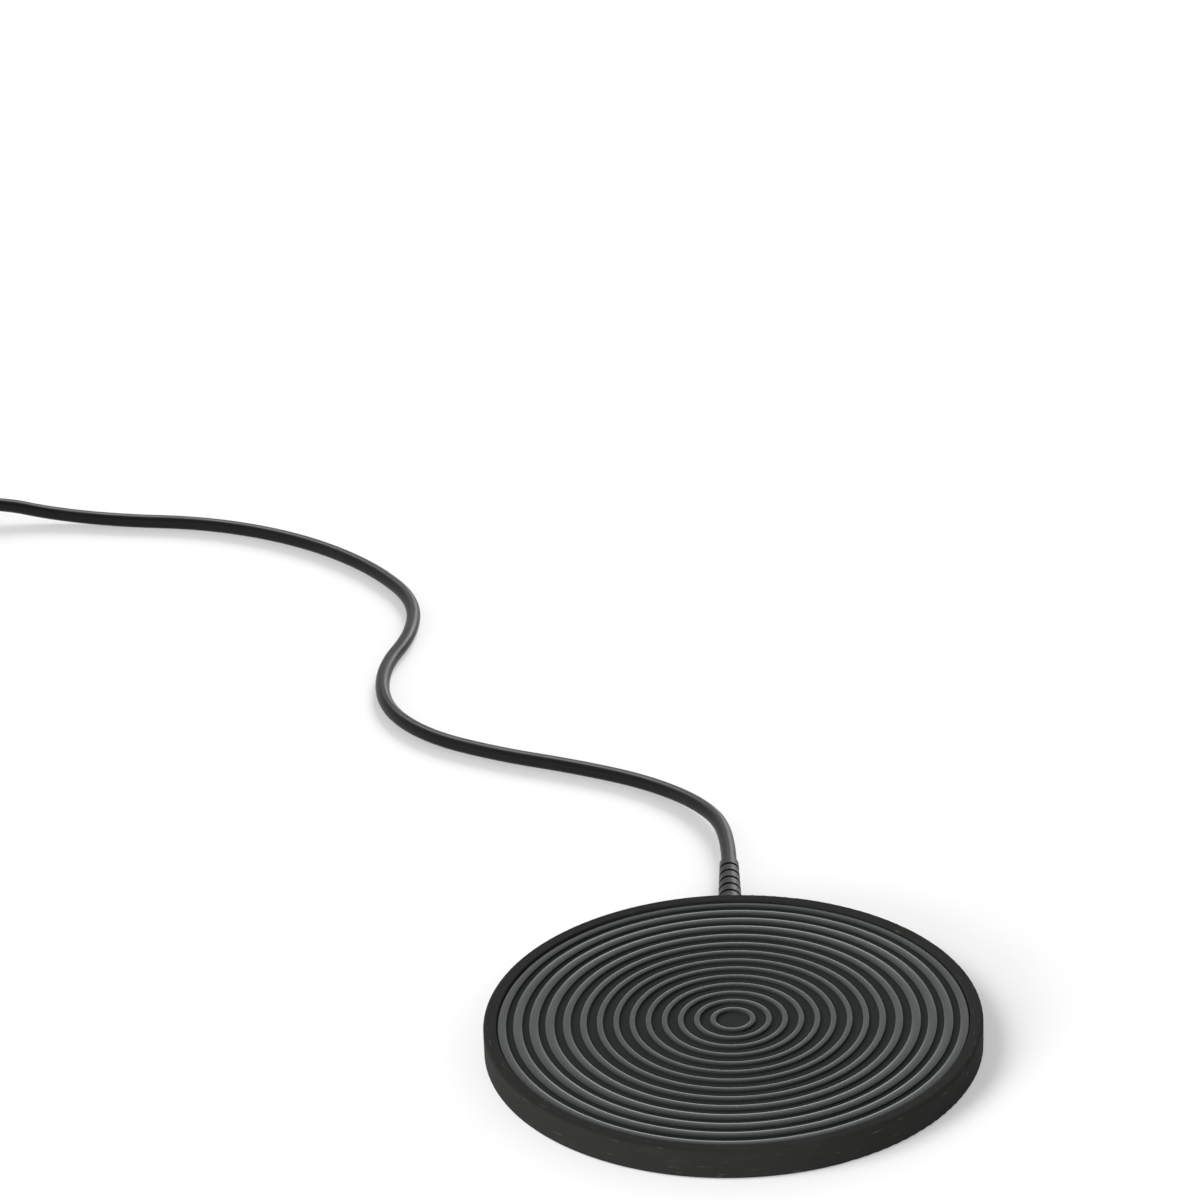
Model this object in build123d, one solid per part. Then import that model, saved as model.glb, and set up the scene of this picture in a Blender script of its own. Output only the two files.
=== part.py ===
from build123d import *
import os
from math import cos, hypot, pi, radians, sin, tan

# Low-voltage electric mug warmer: a thin round housing with a ribbed warming plate, a round
# cord with a rocker switch in it, and a plug. Millimetres, +Z up. The origin is the centre of
# the disc on the table, the cord leaves at the back, +Y, and the front is -Y.

# ---- Disc: driving sizes ----
disc_radius = 55.0
disc_height = 7.0  # table to the top of the rim
foot_stand = 0.25  # what the feet hold the base off the table
rim_width = 2.9  # flat rim round the plate
rim_stand = 0.4  # rim above the rib crests
rim_edge_radius = 0.7
lower_edge_radius = 0.4
seam_gap = 0.25  # shadow gap between plate and rim

# ---- Warming plate ----
plate_floor = 1.0  # metal under the grooves
rib_height = 0.8
rib_pitch = 3.55
rib_flat = 0.4  # flat crest that a mug stands on
rib_crown_tilt = 28.0  # slope that a rib's crown reaches at its edges
rib_edge_radius = 0.12
rib_widths = [1.9, 2.0, 2.0, 2.0, 1.65, 1.45, 1.3, 1.2]  # from the edge inwards, the last repeats
rib_centre_clear = 1.5  # no rib closer to the centre than this

# ---- Housing and base ----
base_thickness = 1.7
base_gap = 0.15
wall_outside_base = 1.85
ledge_width = 6.0
lug_drop = 0.8  # the lugs for the plate's screws lie this far under the ledge
lug_thickness = 1.0
gasket_thickness = 0.4
gasket_inset = 0.3

# ---- Heater stack under the plate, downwards ----
heater_margin = 17.0  # ledge's inner wall to the film's edge
film_thickness = 0.2
pad_overhang = 2.0  # pad past the film
pad_thickness = 1.4
retainer_overhang = 1.0  # retainer past the pad
retainer_thickness = 0.4
retainer_screw_reach = 3.0  # screw centres past the retainer's edge
retainer_angles = [30, 150, 270]

# ---- Screws: shank radius is the pilot radius less the thread gap ----
thread_gap = 0.03
small_pilot = 0.75
small_head_radius = 1.5
base_pilot = 0.85
base_head_radius = 1.9
head_thickness = 0.55
pilot_roof = 0.4  # metal or plastic left over a blind hole
shank_clearance = 0.25
boss_wall = 1.5  # metal round the plate's blind holes
plate_screw_angles = [45, 165, 285]
plate_screw_inset = 3.0  # inside the ledge's inner wall
base_screw_angles = [45, 135, 225, 315]
base_screw_inset = 2.4  # inside the base cover's edge

# ---- Feet ----
foot_radius = 4.5
foot_height = 1.2
foot_gap = 0.1
foot_inset = 11.0  # inside the base cover's edge
foot_angles = [0, 90, 180, 270]

# ---- Control board ----
board_thickness = 0.8
board_standoff = 0.5
board_heater_gap = 2.5  # outside the retainer's edge
board_wall_gap = 1.6
board_screw_inset = 2.1
board_angles = [96, 144]
board_screw_angles = [103, 140]
chip_size = [4.0, 5.0, 1.0]
transistor_size = [5.5, 6.5, 1.1]
capacitor_size = [1.6, 3.2, 1.0]
land_gap = 0.01  # solder film between a part and the copper
chip_angle = 124.0
transistor_angle = 110.0
capacitor_angle = 134.5
capacitor_spread = 1.8  # each side of the board's middle
wire_pad_angle = 100.0

# ---- Sensors and their leads ----
sensor_angle = 129.0
sensor_size = [3.2, 1.8, 1.0]
sensor_reach = 10.0
fuse_angle = 141.0
fuse_radius = 0.65
fuse_length = 7.0
fuse_reach = 18.0
thin_lead = 0.5
heater_lead = 0.9
heater_lead_angles = [116.6, 119.2]
supply_wire = 1.2
channel_side_gap = 0.4
lead_knee = 1.6  # where a lead starts down, past the pad
lead_land_start = 0.3  # where it reaches the board, past the board's inner edge
lead_land_end = 1.9

# ---- Cord and strain relief ----
cord_diameter = 3.6
core_side = 0.75  # each core beside the cord's axis
exit_height = 3.5
neck_diameter = 4.2
neck_gap = 0.1
neck_root = 1.0  # how far the neck reaches in under the block
relief_block_width = 8.0
relief_block_gap = 0.1
relief_start_diameter = 5.6
relief_end_diameter = 4.5
relief_length = 20.0
relief_groove_width = 0.9
relief_groove_depth = 0.45
relief_groove_count = 5

# ---- Switch in the cord ----
switch_x = -231.0
switch_y = 284.0
case_length = 50.0
case_width = 18.0
case_height = 12.0
case_corner = 6.0
case_edge_radius = 1.5
case_wall = 1.4
case_split = 5.0
cord_grip_depth = 6.0
cord_hole_gap = 0.1
clamp_rib_thickness = 1.2
clamp_rib_inset = 0.6
switch_screw_reach = 13.0
switch_screw_side = 5.2
post_radius = 2.2
switch_pilot = 1.0
switch_head_radius = 1.8
rocker_length = 12.6
rocker_width = 9.0
rocker_pivot_height = 9.2
rocker_rise = 1.6  # crest ends above the case
rocker_dip = 1.1  # middle of the rocker below its crest ends
rocker_tilt = 7.0  # degrees each side of level, resting at off
opening_end_gap = 0.7
opening_side_gap = 0.25
trunnion_radius = 1.0
trunnion_gap = 0.05
trunnion_length = 1.5
ear_thickness = 1.6
plunger_radius = 1.0
plunger_gap = 0.06
plunger_height = 3.8
plunger_play = 0.05
spring_wire = 0.3
spring_turns = 5
lever_length = 9.0
lever_width = 3.4
lever_thickness = 0.6
lever_tilt = 5.0
lever_height = 4.5
lever_groove = 0.3  # radius of the pivot groove
lever_play = 0.05
contact_play = 0.04
terminal_thickness = 0.5
terminal_width = 3.0
terminal_post = 0.8
terminal_reach = 10.0
core_straight = 2.6  # each core's straight run from the cord's end

# ---- Coil of stored cord ----
coil_x = -257.0
coil_y = 220.0
coil_middle_radius = 21.5
turn_pitch = 3.67
coil_stub = 16.0
coil_rest = 0.55  # height of the lowest turn above the table, on its tie
coil_climb = 3.75  # the leaving turn above the lowest turn
coil_skin = 0.05  # the round turns stand this much proud of the ring's flats
coil_round = 1.1
tie_thickness = 0.5
tie_gap = 0.04
tie_angle = 20.0
tie_sweep = 20.0

# ---- Plug ----
plug_x = -212.5
plug_y = 168.0
plug_height = 4.0  # cord axis above the table
grip_length = 24.0
grip_width = 15.6
grip_edge_radius = 2.2
plug_boot_length = 10.0
plug_boot_diameter = 6.0
grip_groove_width = 1.0
grip_groove_depth = 0.4
grip_groove_pitch = 2.2
grip_groove_count = 4
shell_width = 12.0
shell_height = 4.5
shell_wall = 0.3
shell_length = 11.75
shell_insert = 4.0
shell_gap = 0.05
shell_window = 2.2
shell_window_side = 2.9  # window centres beside the plug's axis
tongue_thickness = 1.84
tongue_recess = 0.8
tongue_side_gap = 0.3
contact_width = 1.0
contact_thickness = 0.15
contact_pitch = 2.3

# ---- Heights and radii worked out from the sizes above ----
crest_z = disc_height - rim_stand
groove_z = crest_z - rib_height
plate_bottom = groove_z - plate_floor
ledge_top = plate_bottom - gasket_thickness
base_bottom = foot_stand
base_top = base_bottom + base_thickness
film_bottom = plate_bottom - film_thickness
pad_bottom = film_bottom - pad_thickness
retainer_bottom = pad_bottom - retainer_thickness
board_bottom = base_top + board_standoff
board_top = board_bottom + board_thickness
seam_radius = disc_radius - rim_width
plate_radius = seam_radius - seam_gap
recess_radius = disc_radius - wall_outside_base
base_radius = recess_radius - base_gap
ledge_inner = disc_radius - ledge_width
plate_screw_circle = ledge_inner - plate_screw_inset
base_screw_circle = base_radius - base_screw_inset
film_radius = ledge_inner - heater_margin
pad_radius = film_radius + pad_overhang
retainer_radius = pad_radius + retainer_overhang
retainer_screw_circle = retainer_radius + retainer_screw_reach
foot_circle = base_radius - foot_inset
board_inner_radius = retainer_radius + board_heater_gap
board_outer_radius = ledge_inner - board_wall_gap
board_screw_circle = board_outer_radius - board_screw_inset
board_middle = (board_inner_radius + board_outer_radius) / 2
lug_top = ledge_top - lug_drop
lug_bottom = lug_top - lug_thickness
screw_boss_radius = small_pilot + boss_wall
lug_radius = screw_boss_radius + 0.35
cord_radius = cord_diameter / 2
relief_block_inner = ledge_inner + 0.2
relief_block_top = ledge_top - 0.05
relief_end_y = disc_radius + relief_length
case_end = case_length / 2
cord_end_in_case = case_end - cord_grip_depth
stored_wide_radius = coil_middle_radius + turn_pitch
stored_leave_radius = coil_middle_radius + turn_pitch / 2
coil_low_z = coil_rest + cord_radius
coil_leave_z = coil_low_z + coil_climb
coil_outer = stored_wide_radius + cord_radius
coil_inner = coil_middle_radius - turn_pitch - cord_radius
coil_top = coil_low_z + turn_pitch * 0.87 + cord_radius

# ---- Cord routes: points of the centreline, chosen by hand ----
table_z = cord_radius
route_to_switch = [
    (0, relief_end_y, exit_height),
    (0, 90.5, exit_height),
    (-5.5, 106, 2.5),
    (-18.5, 119.5, table_z),
    (-36, 128.5, table_z),
    (-56.5, 136.5, table_z),
    (-74.5, 147, table_z),
    (-85.5, 163, table_z),
    (-87, 184, table_z),
    (-80, 204, table_z),
    (-80.5, 223.5, table_z),
    (-91, 241.5, table_z),
    (-105.5, 256.5, table_z),
    (-122.5, 267.5, table_z),
    (-141.5, 274.5, table_z),
    (-162, 277, table_z),
    (-181, 281, 2.4),
    (-197, switch_y, case_split),
    (switch_x + cord_end_in_case, switch_y, case_split),
]
route_to_coil = [
    (switch_x - cord_end_in_case, switch_y, case_split),
    (-265, switch_y, case_split),
    (-276.5, 277, 3.6),
    (-281.5, 265, 2.5),
    (coil_x - stored_wide_radius, 250, coil_low_z),
    (coil_x - stored_wide_radius, coil_y + coil_stub, coil_low_z),
]
route_to_plug = [
    (coil_x + coil_stub, coil_y - stored_leave_radius, coil_leave_z),
    (-229, coil_y - stored_leave_radius, coil_leave_z),
    (-218.6, 191, 4.8),
    (plug_x, 180.3, plug_height),
    (plug_x, plug_y, plug_height),
]


# ---- Helpers ----
def polar(radius, degrees, z=0.0):
    """A point by its radius and azimuth about the disc's centre."""
    return (radius * cos(radians(degrees)), radius * sin(radians(degrees)), z)


def post(radius, low, high, x=0.0, y=0.0):
    """An upright cylinder between two heights."""
    return Pos(x, y, low) * Cylinder(radius, high - low, align=(Align.CENTER, Align.CENTER, Align.MIN))


def block(x_low, x_high, y_low, y_high, z_low, z_high):
    """A box by its lowest and highest corners."""
    size = Box(x_high - x_low, y_high - y_low, z_high - z_low, align=(Align.MIN, Align.MIN, Align.MIN))
    return Pos(x_low, y_low, z_low) * size


def bar(radius, start, length, axis):
    """A cylinder from a start point along +X or +Y."""
    turn = Rot(0, 90, 0) if axis == "x" else Rot(-90, 0, 0)
    return Pos(*start) * turn * Cylinder(radius, length, align=(Align.CENTER, Align.CENTER, Align.MIN))


def lathe(points, rounds=()):
    """A ring or disc turned from (radius, height) points; rounds are (point index, radius)."""
    face = make_face(Polyline(*[(r, z) for r, z in points], close=True))
    for index, radius in rounds:
        corner_r, corner_z = points[index]
        nearest = min(face.vertices(), key=lambda v: hypot(v.X - corner_r, v.Y - corner_z))
        face = fillet(nearest, radius)
    return revolve(Plane.XZ * face, Axis.Z)


def at_angles(shape, angles):
    """Copies of a shape turned about Z, as a list."""
    return [Rot(0, 0, angle) * shape for angle in angles]


def corner_radii(route):
    """The largest tangent arc that each corner's shorter run allows."""
    radii = []
    for before, corner, after in zip(route, route[1:], route[2:]):
        run_in = corner - before
        run_out = after - corner
        half_turn = radians(run_in.get_angle(run_out) / 2)
        radii.append(0.45 * min(run_in.length, run_out.length) / tan(half_turn))
    return radii


def tube(points, diameter, label=None):
    """A round tube along straight runs joined by tangent arcs."""
    route = [Vector(*point) for point in points]
    radii = corner_radii(route)
    path = FilletPolyline(*route, radius=radii)
    section = Plane(origin=path @ 0, z_dir=path % 0) * Circle(diameter / 2)
    solid = sweep(section, path=path)
    if label:
        expected = pi * diameter**2 / 4 * path.length
        print(f"{label}: length {path.length:.1f} mm, volume {solid.volume / expected:.5f} of section x length")
        print("  radii", [round(radius, 1) for radius in radii])
        print("  runs", [round((b - a).length, 1) for a, b in zip(route, route[1:])])
    return solid


def cross_recess(head_radius, low, high):
    """The cross that a driver fits, to cut out of a screw's head."""
    reach, half = head_radius * 0.62, head_radius * 0.13
    return block(-reach, reach, -half, half, low, high) + block(-half, half, -reach, reach, low, high)


def screw(shank_radius, head_radius, seat, tip, head=None):
    """A screw driven upwards: its head hangs below the seat, its shank reaches the tip."""
    depth = head or head_thickness
    body = post(head_radius, seat - depth, seat) + post(shank_radius, seat, tip)
    return body - cross_recess(head_radius, seat - depth, seat - depth / 2)


# ---- Housing ----
def housing_ring():
    """Rim, outer wall and the ledge that carries the plate, with the notch for the cord."""
    ring = lathe(
        [
            (recess_radius, base_bottom),
            (disc_radius, base_bottom),
            (disc_radius, disc_height),
            (seam_radius, disc_height),
            (seam_radius, ledge_top),
            (ledge_inner, ledge_top),
            (ledge_inner, base_top),
            (recess_radius, base_top),
        ],
        [(1, lower_edge_radius), (2, rim_edge_radius), (3, 0.25)],
    )
    lug = post(lug_radius, lug_bottom, lug_top, plate_screw_circle)
    lug += block(plate_screw_circle, ledge_inner + 0.4, -lug_radius, lug_radius, lug_bottom, lug_top)
    lug_hole = post(small_pilot + shank_clearance, lug_bottom - 1, lug_top + 1, plate_screw_circle)
    ring += at_angles(lug, plate_screw_angles)
    ring -= at_angles(lug_hole, plate_screw_angles)
    pilot = post(base_pilot, base_top - 1, ledge_top - pilot_roof, base_screw_circle)
    ring -= at_angles(pilot, base_screw_angles)
    half_pocket = relief_block_width / 2 + relief_block_gap
    pocket_outer = base_radius
    ring -= block(-half_pocket, half_pocket, ledge_inner - 1, pocket_outer, base_top - 1, ledge_top + 0.01)
    notch_radius = neck_diameter / 2 + neck_gap
    ring -= bar(notch_radius, (0, ledge_inner, exit_height), ledge_width + 1, "y")
    ring -= block(-notch_radius, notch_radius, ledge_inner, disc_radius + 1, base_bottom - 1, exit_height)
    return ring


def base_cover():
    """Bottom plate with foot recesses, screw holes, board bosses and the notch's lower lip."""
    cover = post(base_radius, base_bottom, base_top)
    lip_half = neck_diameter / 2
    lip = block(-lip_half, lip_half, base_radius - 2, disc_radius, base_bottom, base_top)
    cover += lip & post(disc_radius - 0.1, base_bottom, base_top)
    saddle_start = (0, base_radius - neck_root - neck_gap, exit_height)
    cover -= bar(neck_diameter / 2 + neck_gap, saddle_start, ledge_width, "y")
    recess = post(foot_radius + foot_gap, base_bottom - 1, foot_height, foot_circle)
    cover -= at_angles(recess, foot_angles)
    seat = base_bottom + 0.1 + head_thickness
    hole = post(base_pilot + shank_clearance, base_bottom - 1, base_top + 1, base_screw_circle)
    hole += post(base_head_radius + 0.2, base_bottom - 1, seat, base_screw_circle)
    cover -= at_angles(hole, base_screw_angles)
    boss = post(1.8, base_top - 0.2, board_bottom, board_screw_circle)
    pilot = post(small_pilot, base_bottom + pilot_roof + 0.1, board_top, board_screw_circle)
    cover += at_angles(boss, board_screw_angles)
    cover -= at_angles(pilot, board_screw_angles)
    return cover


def rib_section(width):
    """A rib's section: a flat crest between two shallow crowned shoulders, with a root in the plate."""
    half, flat = width / 2, rib_flat / 2
    root = groove_z - plate_floor / 2
    crown = (half - flat) / sin(radians(rib_crown_tilt))

    def shoulder(side, share):
        tilt = radians(rib_crown_tilt * share)
        return (side * (flat + crown * sin(tilt)), crest_z - crown * (1 - cos(tilt)))

    lines = [Line((-flat, crest_z), (flat, crest_z))]
    lines += [ThreePointArc(*[shoulder(side, share) for share in (0, 0.5, 1)]) for side in (-1, 1)]
    lines.append(Polyline(shoulder(1, 1), (half, root), (-half, root), shoulder(-1, 1)))
    section = make_face([edge for line in lines for edge in line.edges()])
    outer = section.vertices().filter_by(lambda v: abs(v.X) > half - 0.001 and v.Y > groove_z)
    return fillet(outer, rib_edge_radius)


def warming_plate():
    """Round plate with concentric crowned ribs, and bosses below for its screws."""
    plate = post(plate_radius, plate_bottom, groove_z)
    inner = plate_radius - rib_widths[0]
    index = 0
    while inner > rib_centre_clear:
        width = rib_widths[min(index, len(rib_widths) - 1)]
        plate += revolve(Plane.XZ * Pos(inner + width / 2, 0) * rib_section(width), Axis.Z)
        inner -= rib_pitch
        index += 1
    screw_boss = post(screw_boss_radius, lug_top, plate_bottom, plate_screw_circle)
    retainer_boss = post(screw_boss_radius, pad_bottom, plate_bottom, retainer_screw_circle)
    plate += at_angles(screw_boss, plate_screw_angles)
    plate += at_angles(retainer_boss, retainer_angles)
    screw_pilot = post(small_pilot, lug_top - 1, groove_z - pilot_roof, plate_screw_circle)
    retainer_pilot = post(small_pilot, pad_bottom - 1, groove_z - pilot_roof, retainer_screw_circle)
    plate -= at_angles(screw_pilot, plate_screw_angles)
    plate -= at_angles(retainer_pilot, retainer_angles)
    return plate


def plate_gasket():
    """Silicone ring that seals the plate on its ledge."""
    low, high = ledge_top, plate_bottom
    inner, outer = ledge_inner + gasket_inset, plate_radius - 0.05
    return lathe([(inner, low), (outer, low), (outer, high), (inner, high)])


def rubber_feet():
    """Four round feet, one solid each, stuck in the base's recesses."""
    foot = post(foot_radius, 0, foot_height, foot_circle)
    foot = fillet(foot.faces().sort_by(Axis.Z)[0].edges(), 0.25)
    return at_angles(foot, foot_angles)


# ---- Heater ----
heater_tab_angle = sum(heater_lead_angles) / 2


def heating_film():
    """Thin film heater bonded under the plate, with a tab for its two leads."""
    film = post(film_radius, film_bottom, plate_bottom)
    tab = block(film_radius - 1, pad_radius + 2.5, -4, 4, film_bottom, plate_bottom)
    return film + Rot(0, 0, heater_tab_angle) * tab


def insulation_pad():
    """Fibre pad that keeps the heat up, cut away for the sensor and the fuse."""
    pad = post(pad_radius, pad_bottom, film_bottom)
    low, high, edge = pad_bottom - 1, film_bottom + 1, pad_radius + 1
    sensor_half = sensor_size[1] / 2 + channel_side_gap
    sensor_cut = block(sensor_reach - 0.4, edge, -sensor_half, sensor_half, low, high)
    fuse_low = -fuse_radius - channel_side_gap
    fuse_high = fuse_radius + channel_side_gap + thin_lead + 0.8
    fuse_cut = block(fuse_reach - 2.2, edge, fuse_low, fuse_high, low, high)
    pad -= Rot(0, 0, sensor_angle) * sensor_cut
    pad -= Rot(0, 0, fuse_angle) * fuse_cut
    return pad


def retainer_plate():
    """Sheet-steel disc with three tabs that holds the pad and the film to the plate."""
    retainer = post(retainer_radius, retainer_bottom, pad_bottom)
    tab = block(retainer_radius - 1, retainer_screw_circle, -2.3, 2.3, retainer_bottom, pad_bottom)
    tab += post(2.3, retainer_bottom, pad_bottom, retainer_screw_circle)
    hole = post(small_pilot + shank_clearance, retainer_bottom - 1, pad_bottom + 1, retainer_screw_circle)
    retainer += at_angles(tab, retainer_angles)
    retainer -= at_angles(hole, retainer_angles)
    return retainer


def retainer_screws():
    """Three small screws from below into the plate's inner bosses."""
    one = screw(small_pilot - thread_gap, small_head_radius, retainer_bottom, plate_bottom)
    return at_angles(Pos(retainer_screw_circle, 0, 0) * one, retainer_angles)


def plate_screws():
    """Three small screws that pull the plate down on the housing's lugs."""
    one = screw(small_pilot - thread_gap, small_head_radius, lug_bottom, plate_bottom)
    return at_angles(Pos(plate_screw_circle, 0, 0) * one, plate_screw_angles)


def base_screws():
    """Four flat-headed screws that close the base."""
    seat = base_bottom + 0.1 + head_thickness
    tip = ledge_top - pilot_roof - 0.2
    one = screw(base_pilot - thread_gap, base_head_radius, seat, tip)
    return at_angles(Pos(base_screw_circle, 0, 0) * one, base_screw_angles)


# ---- Control board ----
def on_board(size, radius, angle):
    """A box-shaped part soldered on the board, long side along the arc."""
    depth, width, height = size
    low = board_top + land_gap
    part = block(radius - depth / 2, radius + depth / 2, -width / 2, width / 2, low, low + height)
    return Rot(0, 0, angle) * part


def control_board():
    """Curved circuit board between the heater and the housing wall."""
    start, end = board_angles
    outer = CenterArc((0, 0), board_outer_radius, start, end - start)
    inner = CenterArc((0, 0), board_inner_radius, start, end - start)
    edges = [outer, inner, Line(outer @ 0, inner @ 0), Line(outer @ 1, inner @ 1)]
    board = Pos(0, 0, board_bottom) * extrude(make_face(edges), board_thickness)
    hole = post(small_pilot + shank_clearance, board_bottom - 1, board_top + 1, board_screw_circle)
    board -= at_angles(hole, board_screw_angles)
    return board


def board_screws():
    """Two screws that hold the board, driven down from above."""
    tip = base_bottom + pilot_roof + 0.3
    one = post(small_head_radius, board_top, board_top + head_thickness)
    one += post(small_pilot - thread_gap, tip, board_top)
    one -= cross_recess(small_head_radius, board_top + head_thickness / 2, board_top + head_thickness)
    return at_angles(Pos(board_screw_circle, 0, 0) * one, board_screw_angles)


def controller_chip():
    """Controller that holds the plate's temperature."""
    return on_board(chip_size, board_middle, chip_angle)


def power_transistor():
    """Transistor that switches the heater."""
    return on_board(transistor_size, board_inner_radius + transistor_size[0] / 2 + 1, transistor_angle)


def board_capacitors():
    """Two chip capacitors, one solid each."""
    radii = (board_middle - capacitor_spread, board_middle + capacitor_spread)
    return [on_board(capacitor_size, radius, capacitor_angle) for radius in radii]


# ---- Sensors and leads ----
def drop_to_board(lead, start_radius, start_z, side=0.0):
    """A lead that runs outwards and comes down on the board's edge."""
    land_z = board_top + lead / 2 + land_gap
    points = [
        (start_radius, side, start_z),
        (pad_radius + lead_knee, side, start_z),
        (board_inner_radius + lead_land_start, side * 1.02, land_z),
        (board_inner_radius + lead_land_end, side * 1.05, land_z),
    ]
    return tube(points, lead)


def temperature_sensor():
    """Thermistor bead under the film, in its channel."""
    length, width, height = sensor_size
    high = film_bottom - land_gap
    bead = block(sensor_reach, sensor_reach + length, -width / 2, width / 2, high - height, high)
    bead = fillet(bead.edges().filter_by(Axis.X), 0.3)
    return Rot(0, 0, sensor_angle) * bead


def sensor_leads():
    """Two thin leads from the thermistor to the board."""
    start = sensor_reach + sensor_size[0]
    lead_z = film_bottom - sensor_size[2] / 2 - land_gap
    leads = [drop_to_board(thin_lead, start, lead_z, side) for side in (-0.5, 0.5)]
    return [Rot(0, 0, sensor_angle) * lead for lead in leads]


def thermal_fuse():
    """Thermal cut-off that opens if the plate overheats."""
    axis_z = film_bottom - fuse_radius - land_gap
    fuse = bar(fuse_radius, (fuse_reach, 0, axis_z), fuse_length, "x")
    return Rot(0, 0, fuse_angle) * fuse


def fuse_leads():
    """The fuse's two leads: one straight out, one turned back alongside the body."""
    axis_z = film_bottom - fuse_radius - land_gap
    side = fuse_radius + channel_side_gap + thin_lead / 2
    straight = drop_to_board(thin_lead, fuse_reach + fuse_length, axis_z)
    land_z = board_top + thin_lead / 2 + land_gap
    back = [
        (fuse_reach, 0, axis_z),
        (fuse_reach - 1.2, 0.1, axis_z),
        (fuse_reach - 1.2, side - 0.1, axis_z),
        (fuse_reach, side, axis_z),
        (fuse_reach + fuse_length, side + 0.02, axis_z),
        (pad_radius + lead_knee, side, axis_z),
        (board_inner_radius + lead_land_start, side + 0.03, land_z),
        (board_inner_radius + lead_land_end, side + 0.08, land_z),
    ]
    return [Rot(0, 0, fuse_angle) * lead for lead in (straight, tube(back, thin_lead))]


def heater_leads():
    """Two leads from the film's tab down to the board."""
    start_z = film_bottom - heater_lead / 2 - land_gap
    lead = drop_to_board(heater_lead, pad_radius + 0.5, start_z)
    return [Rot(0, 0, angle) * lead for angle in heater_lead_angles]


def supply_wire_solid(side, bend_y, land_radius):
    """One core of the cord, from the strain relief to its pad on the board."""
    land_z = board_top + supply_wire / 2 + land_gap
    land = polar(land_radius, wire_pad_angle)
    points = [
        (side, relief_block_inner, exit_height),
        (side, bend_y, exit_height + 0.05),
        (side - 3.0, land[1] + 1.0, land_z),
        (land[0], land[1], land_z + 0.01),
    ]
    return tube(points, supply_wire)


def supply_wire_positive():
    """Red core, to the outer pad."""
    return supply_wire_solid(-core_side, ledge_inner - 2.6, board_middle + 1.0)


def supply_wire_negative():
    """Black core, to the inner pad."""
    return supply_wire_solid(core_side, ledge_inner - 3.6, board_middle - 1.2)


# ---- Cord ----
def strain_relief():
    """Moulded relief: a block held in the ledge, a neck through the wall and a tapered sleeve."""
    half = relief_block_width / 2
    block_outer = base_radius - relief_block_gap
    body = block(-half, half, relief_block_inner, block_outer, base_top, relief_block_top)
    neck_start = base_radius - neck_root
    body += bar(neck_diameter / 2, (0, neck_start, exit_height), disc_radius + 0.1 - neck_start, "y")
    sleeve = Pos(0, disc_radius + 0.05, exit_height) * Rot(-90, 0, 0) * Cone(
        relief_start_diameter / 2,
        relief_end_diameter / 2,
        relief_length - 0.05,
        align=(Align.CENTER, Align.CENTER, Align.MIN),
    )
    pitch = relief_length / (relief_groove_count + 1)
    for index in range(1, relief_groove_count + 1):
        share = index / (relief_groove_count + 1)
        outer = (relief_start_diameter + (relief_end_diameter - relief_start_diameter) * share) / 2
        start = (0, disc_radius + pitch * index - relief_groove_width / 2, exit_height)
        groove = bar(outer + 1, start, relief_groove_width, "y")
        groove -= bar(outer - relief_groove_depth, start, relief_groove_width, "y")
        sleeve -= groove
    return body + sleeve


def cord_to_switch():
    """Cord from the disc to the switch."""
    return tube(route_to_switch, cord_diameter, "cord_to_switch")


def cord_to_coil():
    """Cord from the switch to the coil."""
    return tube(route_to_coil, cord_diameter, "cord_to_coil")


def cord_to_plug():
    """Cord from the coil to the plug."""
    return tube(route_to_plug, cord_diameter, "cord_to_plug")


def cord_coil():
    """Outer shape of the stored turns: three below, two on them, with the two tangent ends."""
    step = turn_pitch * 0.55
    outer, low = coil_outer - coil_skin, coil_rest + coil_skin
    shoulder = coil_rest + cord_diameter
    ring = lathe(
        [
            (coil_inner, low),
            (outer, low),
            (outer, shoulder),
            (outer - step, coil_top),
            (coil_inner + step, coil_top),
            (coil_inner, shoulder),
        ],
        [(index, coil_round) for index in range(6)],
    )
    arriving = bar(cord_radius, (-stored_wide_radius, 0, coil_low_z), coil_stub, "y")
    leaving = bar(cord_radius, (0, -stored_leave_radius, coil_leave_z), coil_stub, "x")
    return Pos(coil_x, coil_y, 0) * (ring + arriving + leaving)


def cord_tie():
    """Strap wrapped once round the bundle of turns."""
    low = coil_rest - tie_gap
    inner, outer, high = coil_inner - tie_gap, coil_outer + tie_gap, coil_top + tie_gap
    around = [
        (inner - tie_thickness, low - tie_thickness),
        (outer + tie_thickness, low - tie_thickness),
        (outer + tie_thickness, high + tie_thickness),
        (inner - tie_thickness, high + tie_thickness),
    ]
    hollow = [(inner, low), (outer, low), (outer, high), (inner, high)]
    strap = lathe(around, [(2, 2.0), (3, 2.0)]) - lathe(hollow, [(2, 1.6), (3, 1.6)])
    reach = coil_outer * 2
    half = tie_sweep / 2
    wedge = make_face(
        Polyline((0, 0), polar(reach, -half)[:2], polar(reach, half)[:2], close=True)
    )
    strap &= extrude(wedge, coil_top * 2)
    return Pos(coil_x, coil_y, 0) * Rot(0, 0, tie_angle) * strap


# ---- Switch ----
def at_switch(shape):
    """Moves a shape modelled about the switch's middle to its place on the cord."""
    if isinstance(shape, list):
        return [at_switch(one) for one in shape]
    return Pos(switch_x, switch_y, 0) * shape


def tilted(shape, pivot_height, degrees):
    """Turns a shape about the Y axis at a height on the switch's centre line."""
    return Pos(0, 0, pivot_height) * Rot(0, degrees, 0) * Pos(0, 0, -pivot_height) * shape


def case_blank(low, high):
    """Plain outer block of the case between two heights."""
    outline = RectangleRounded(case_length, case_width, case_corner)
    return Pos(0, 0, low) * extrude(outline, high - low)


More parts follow.
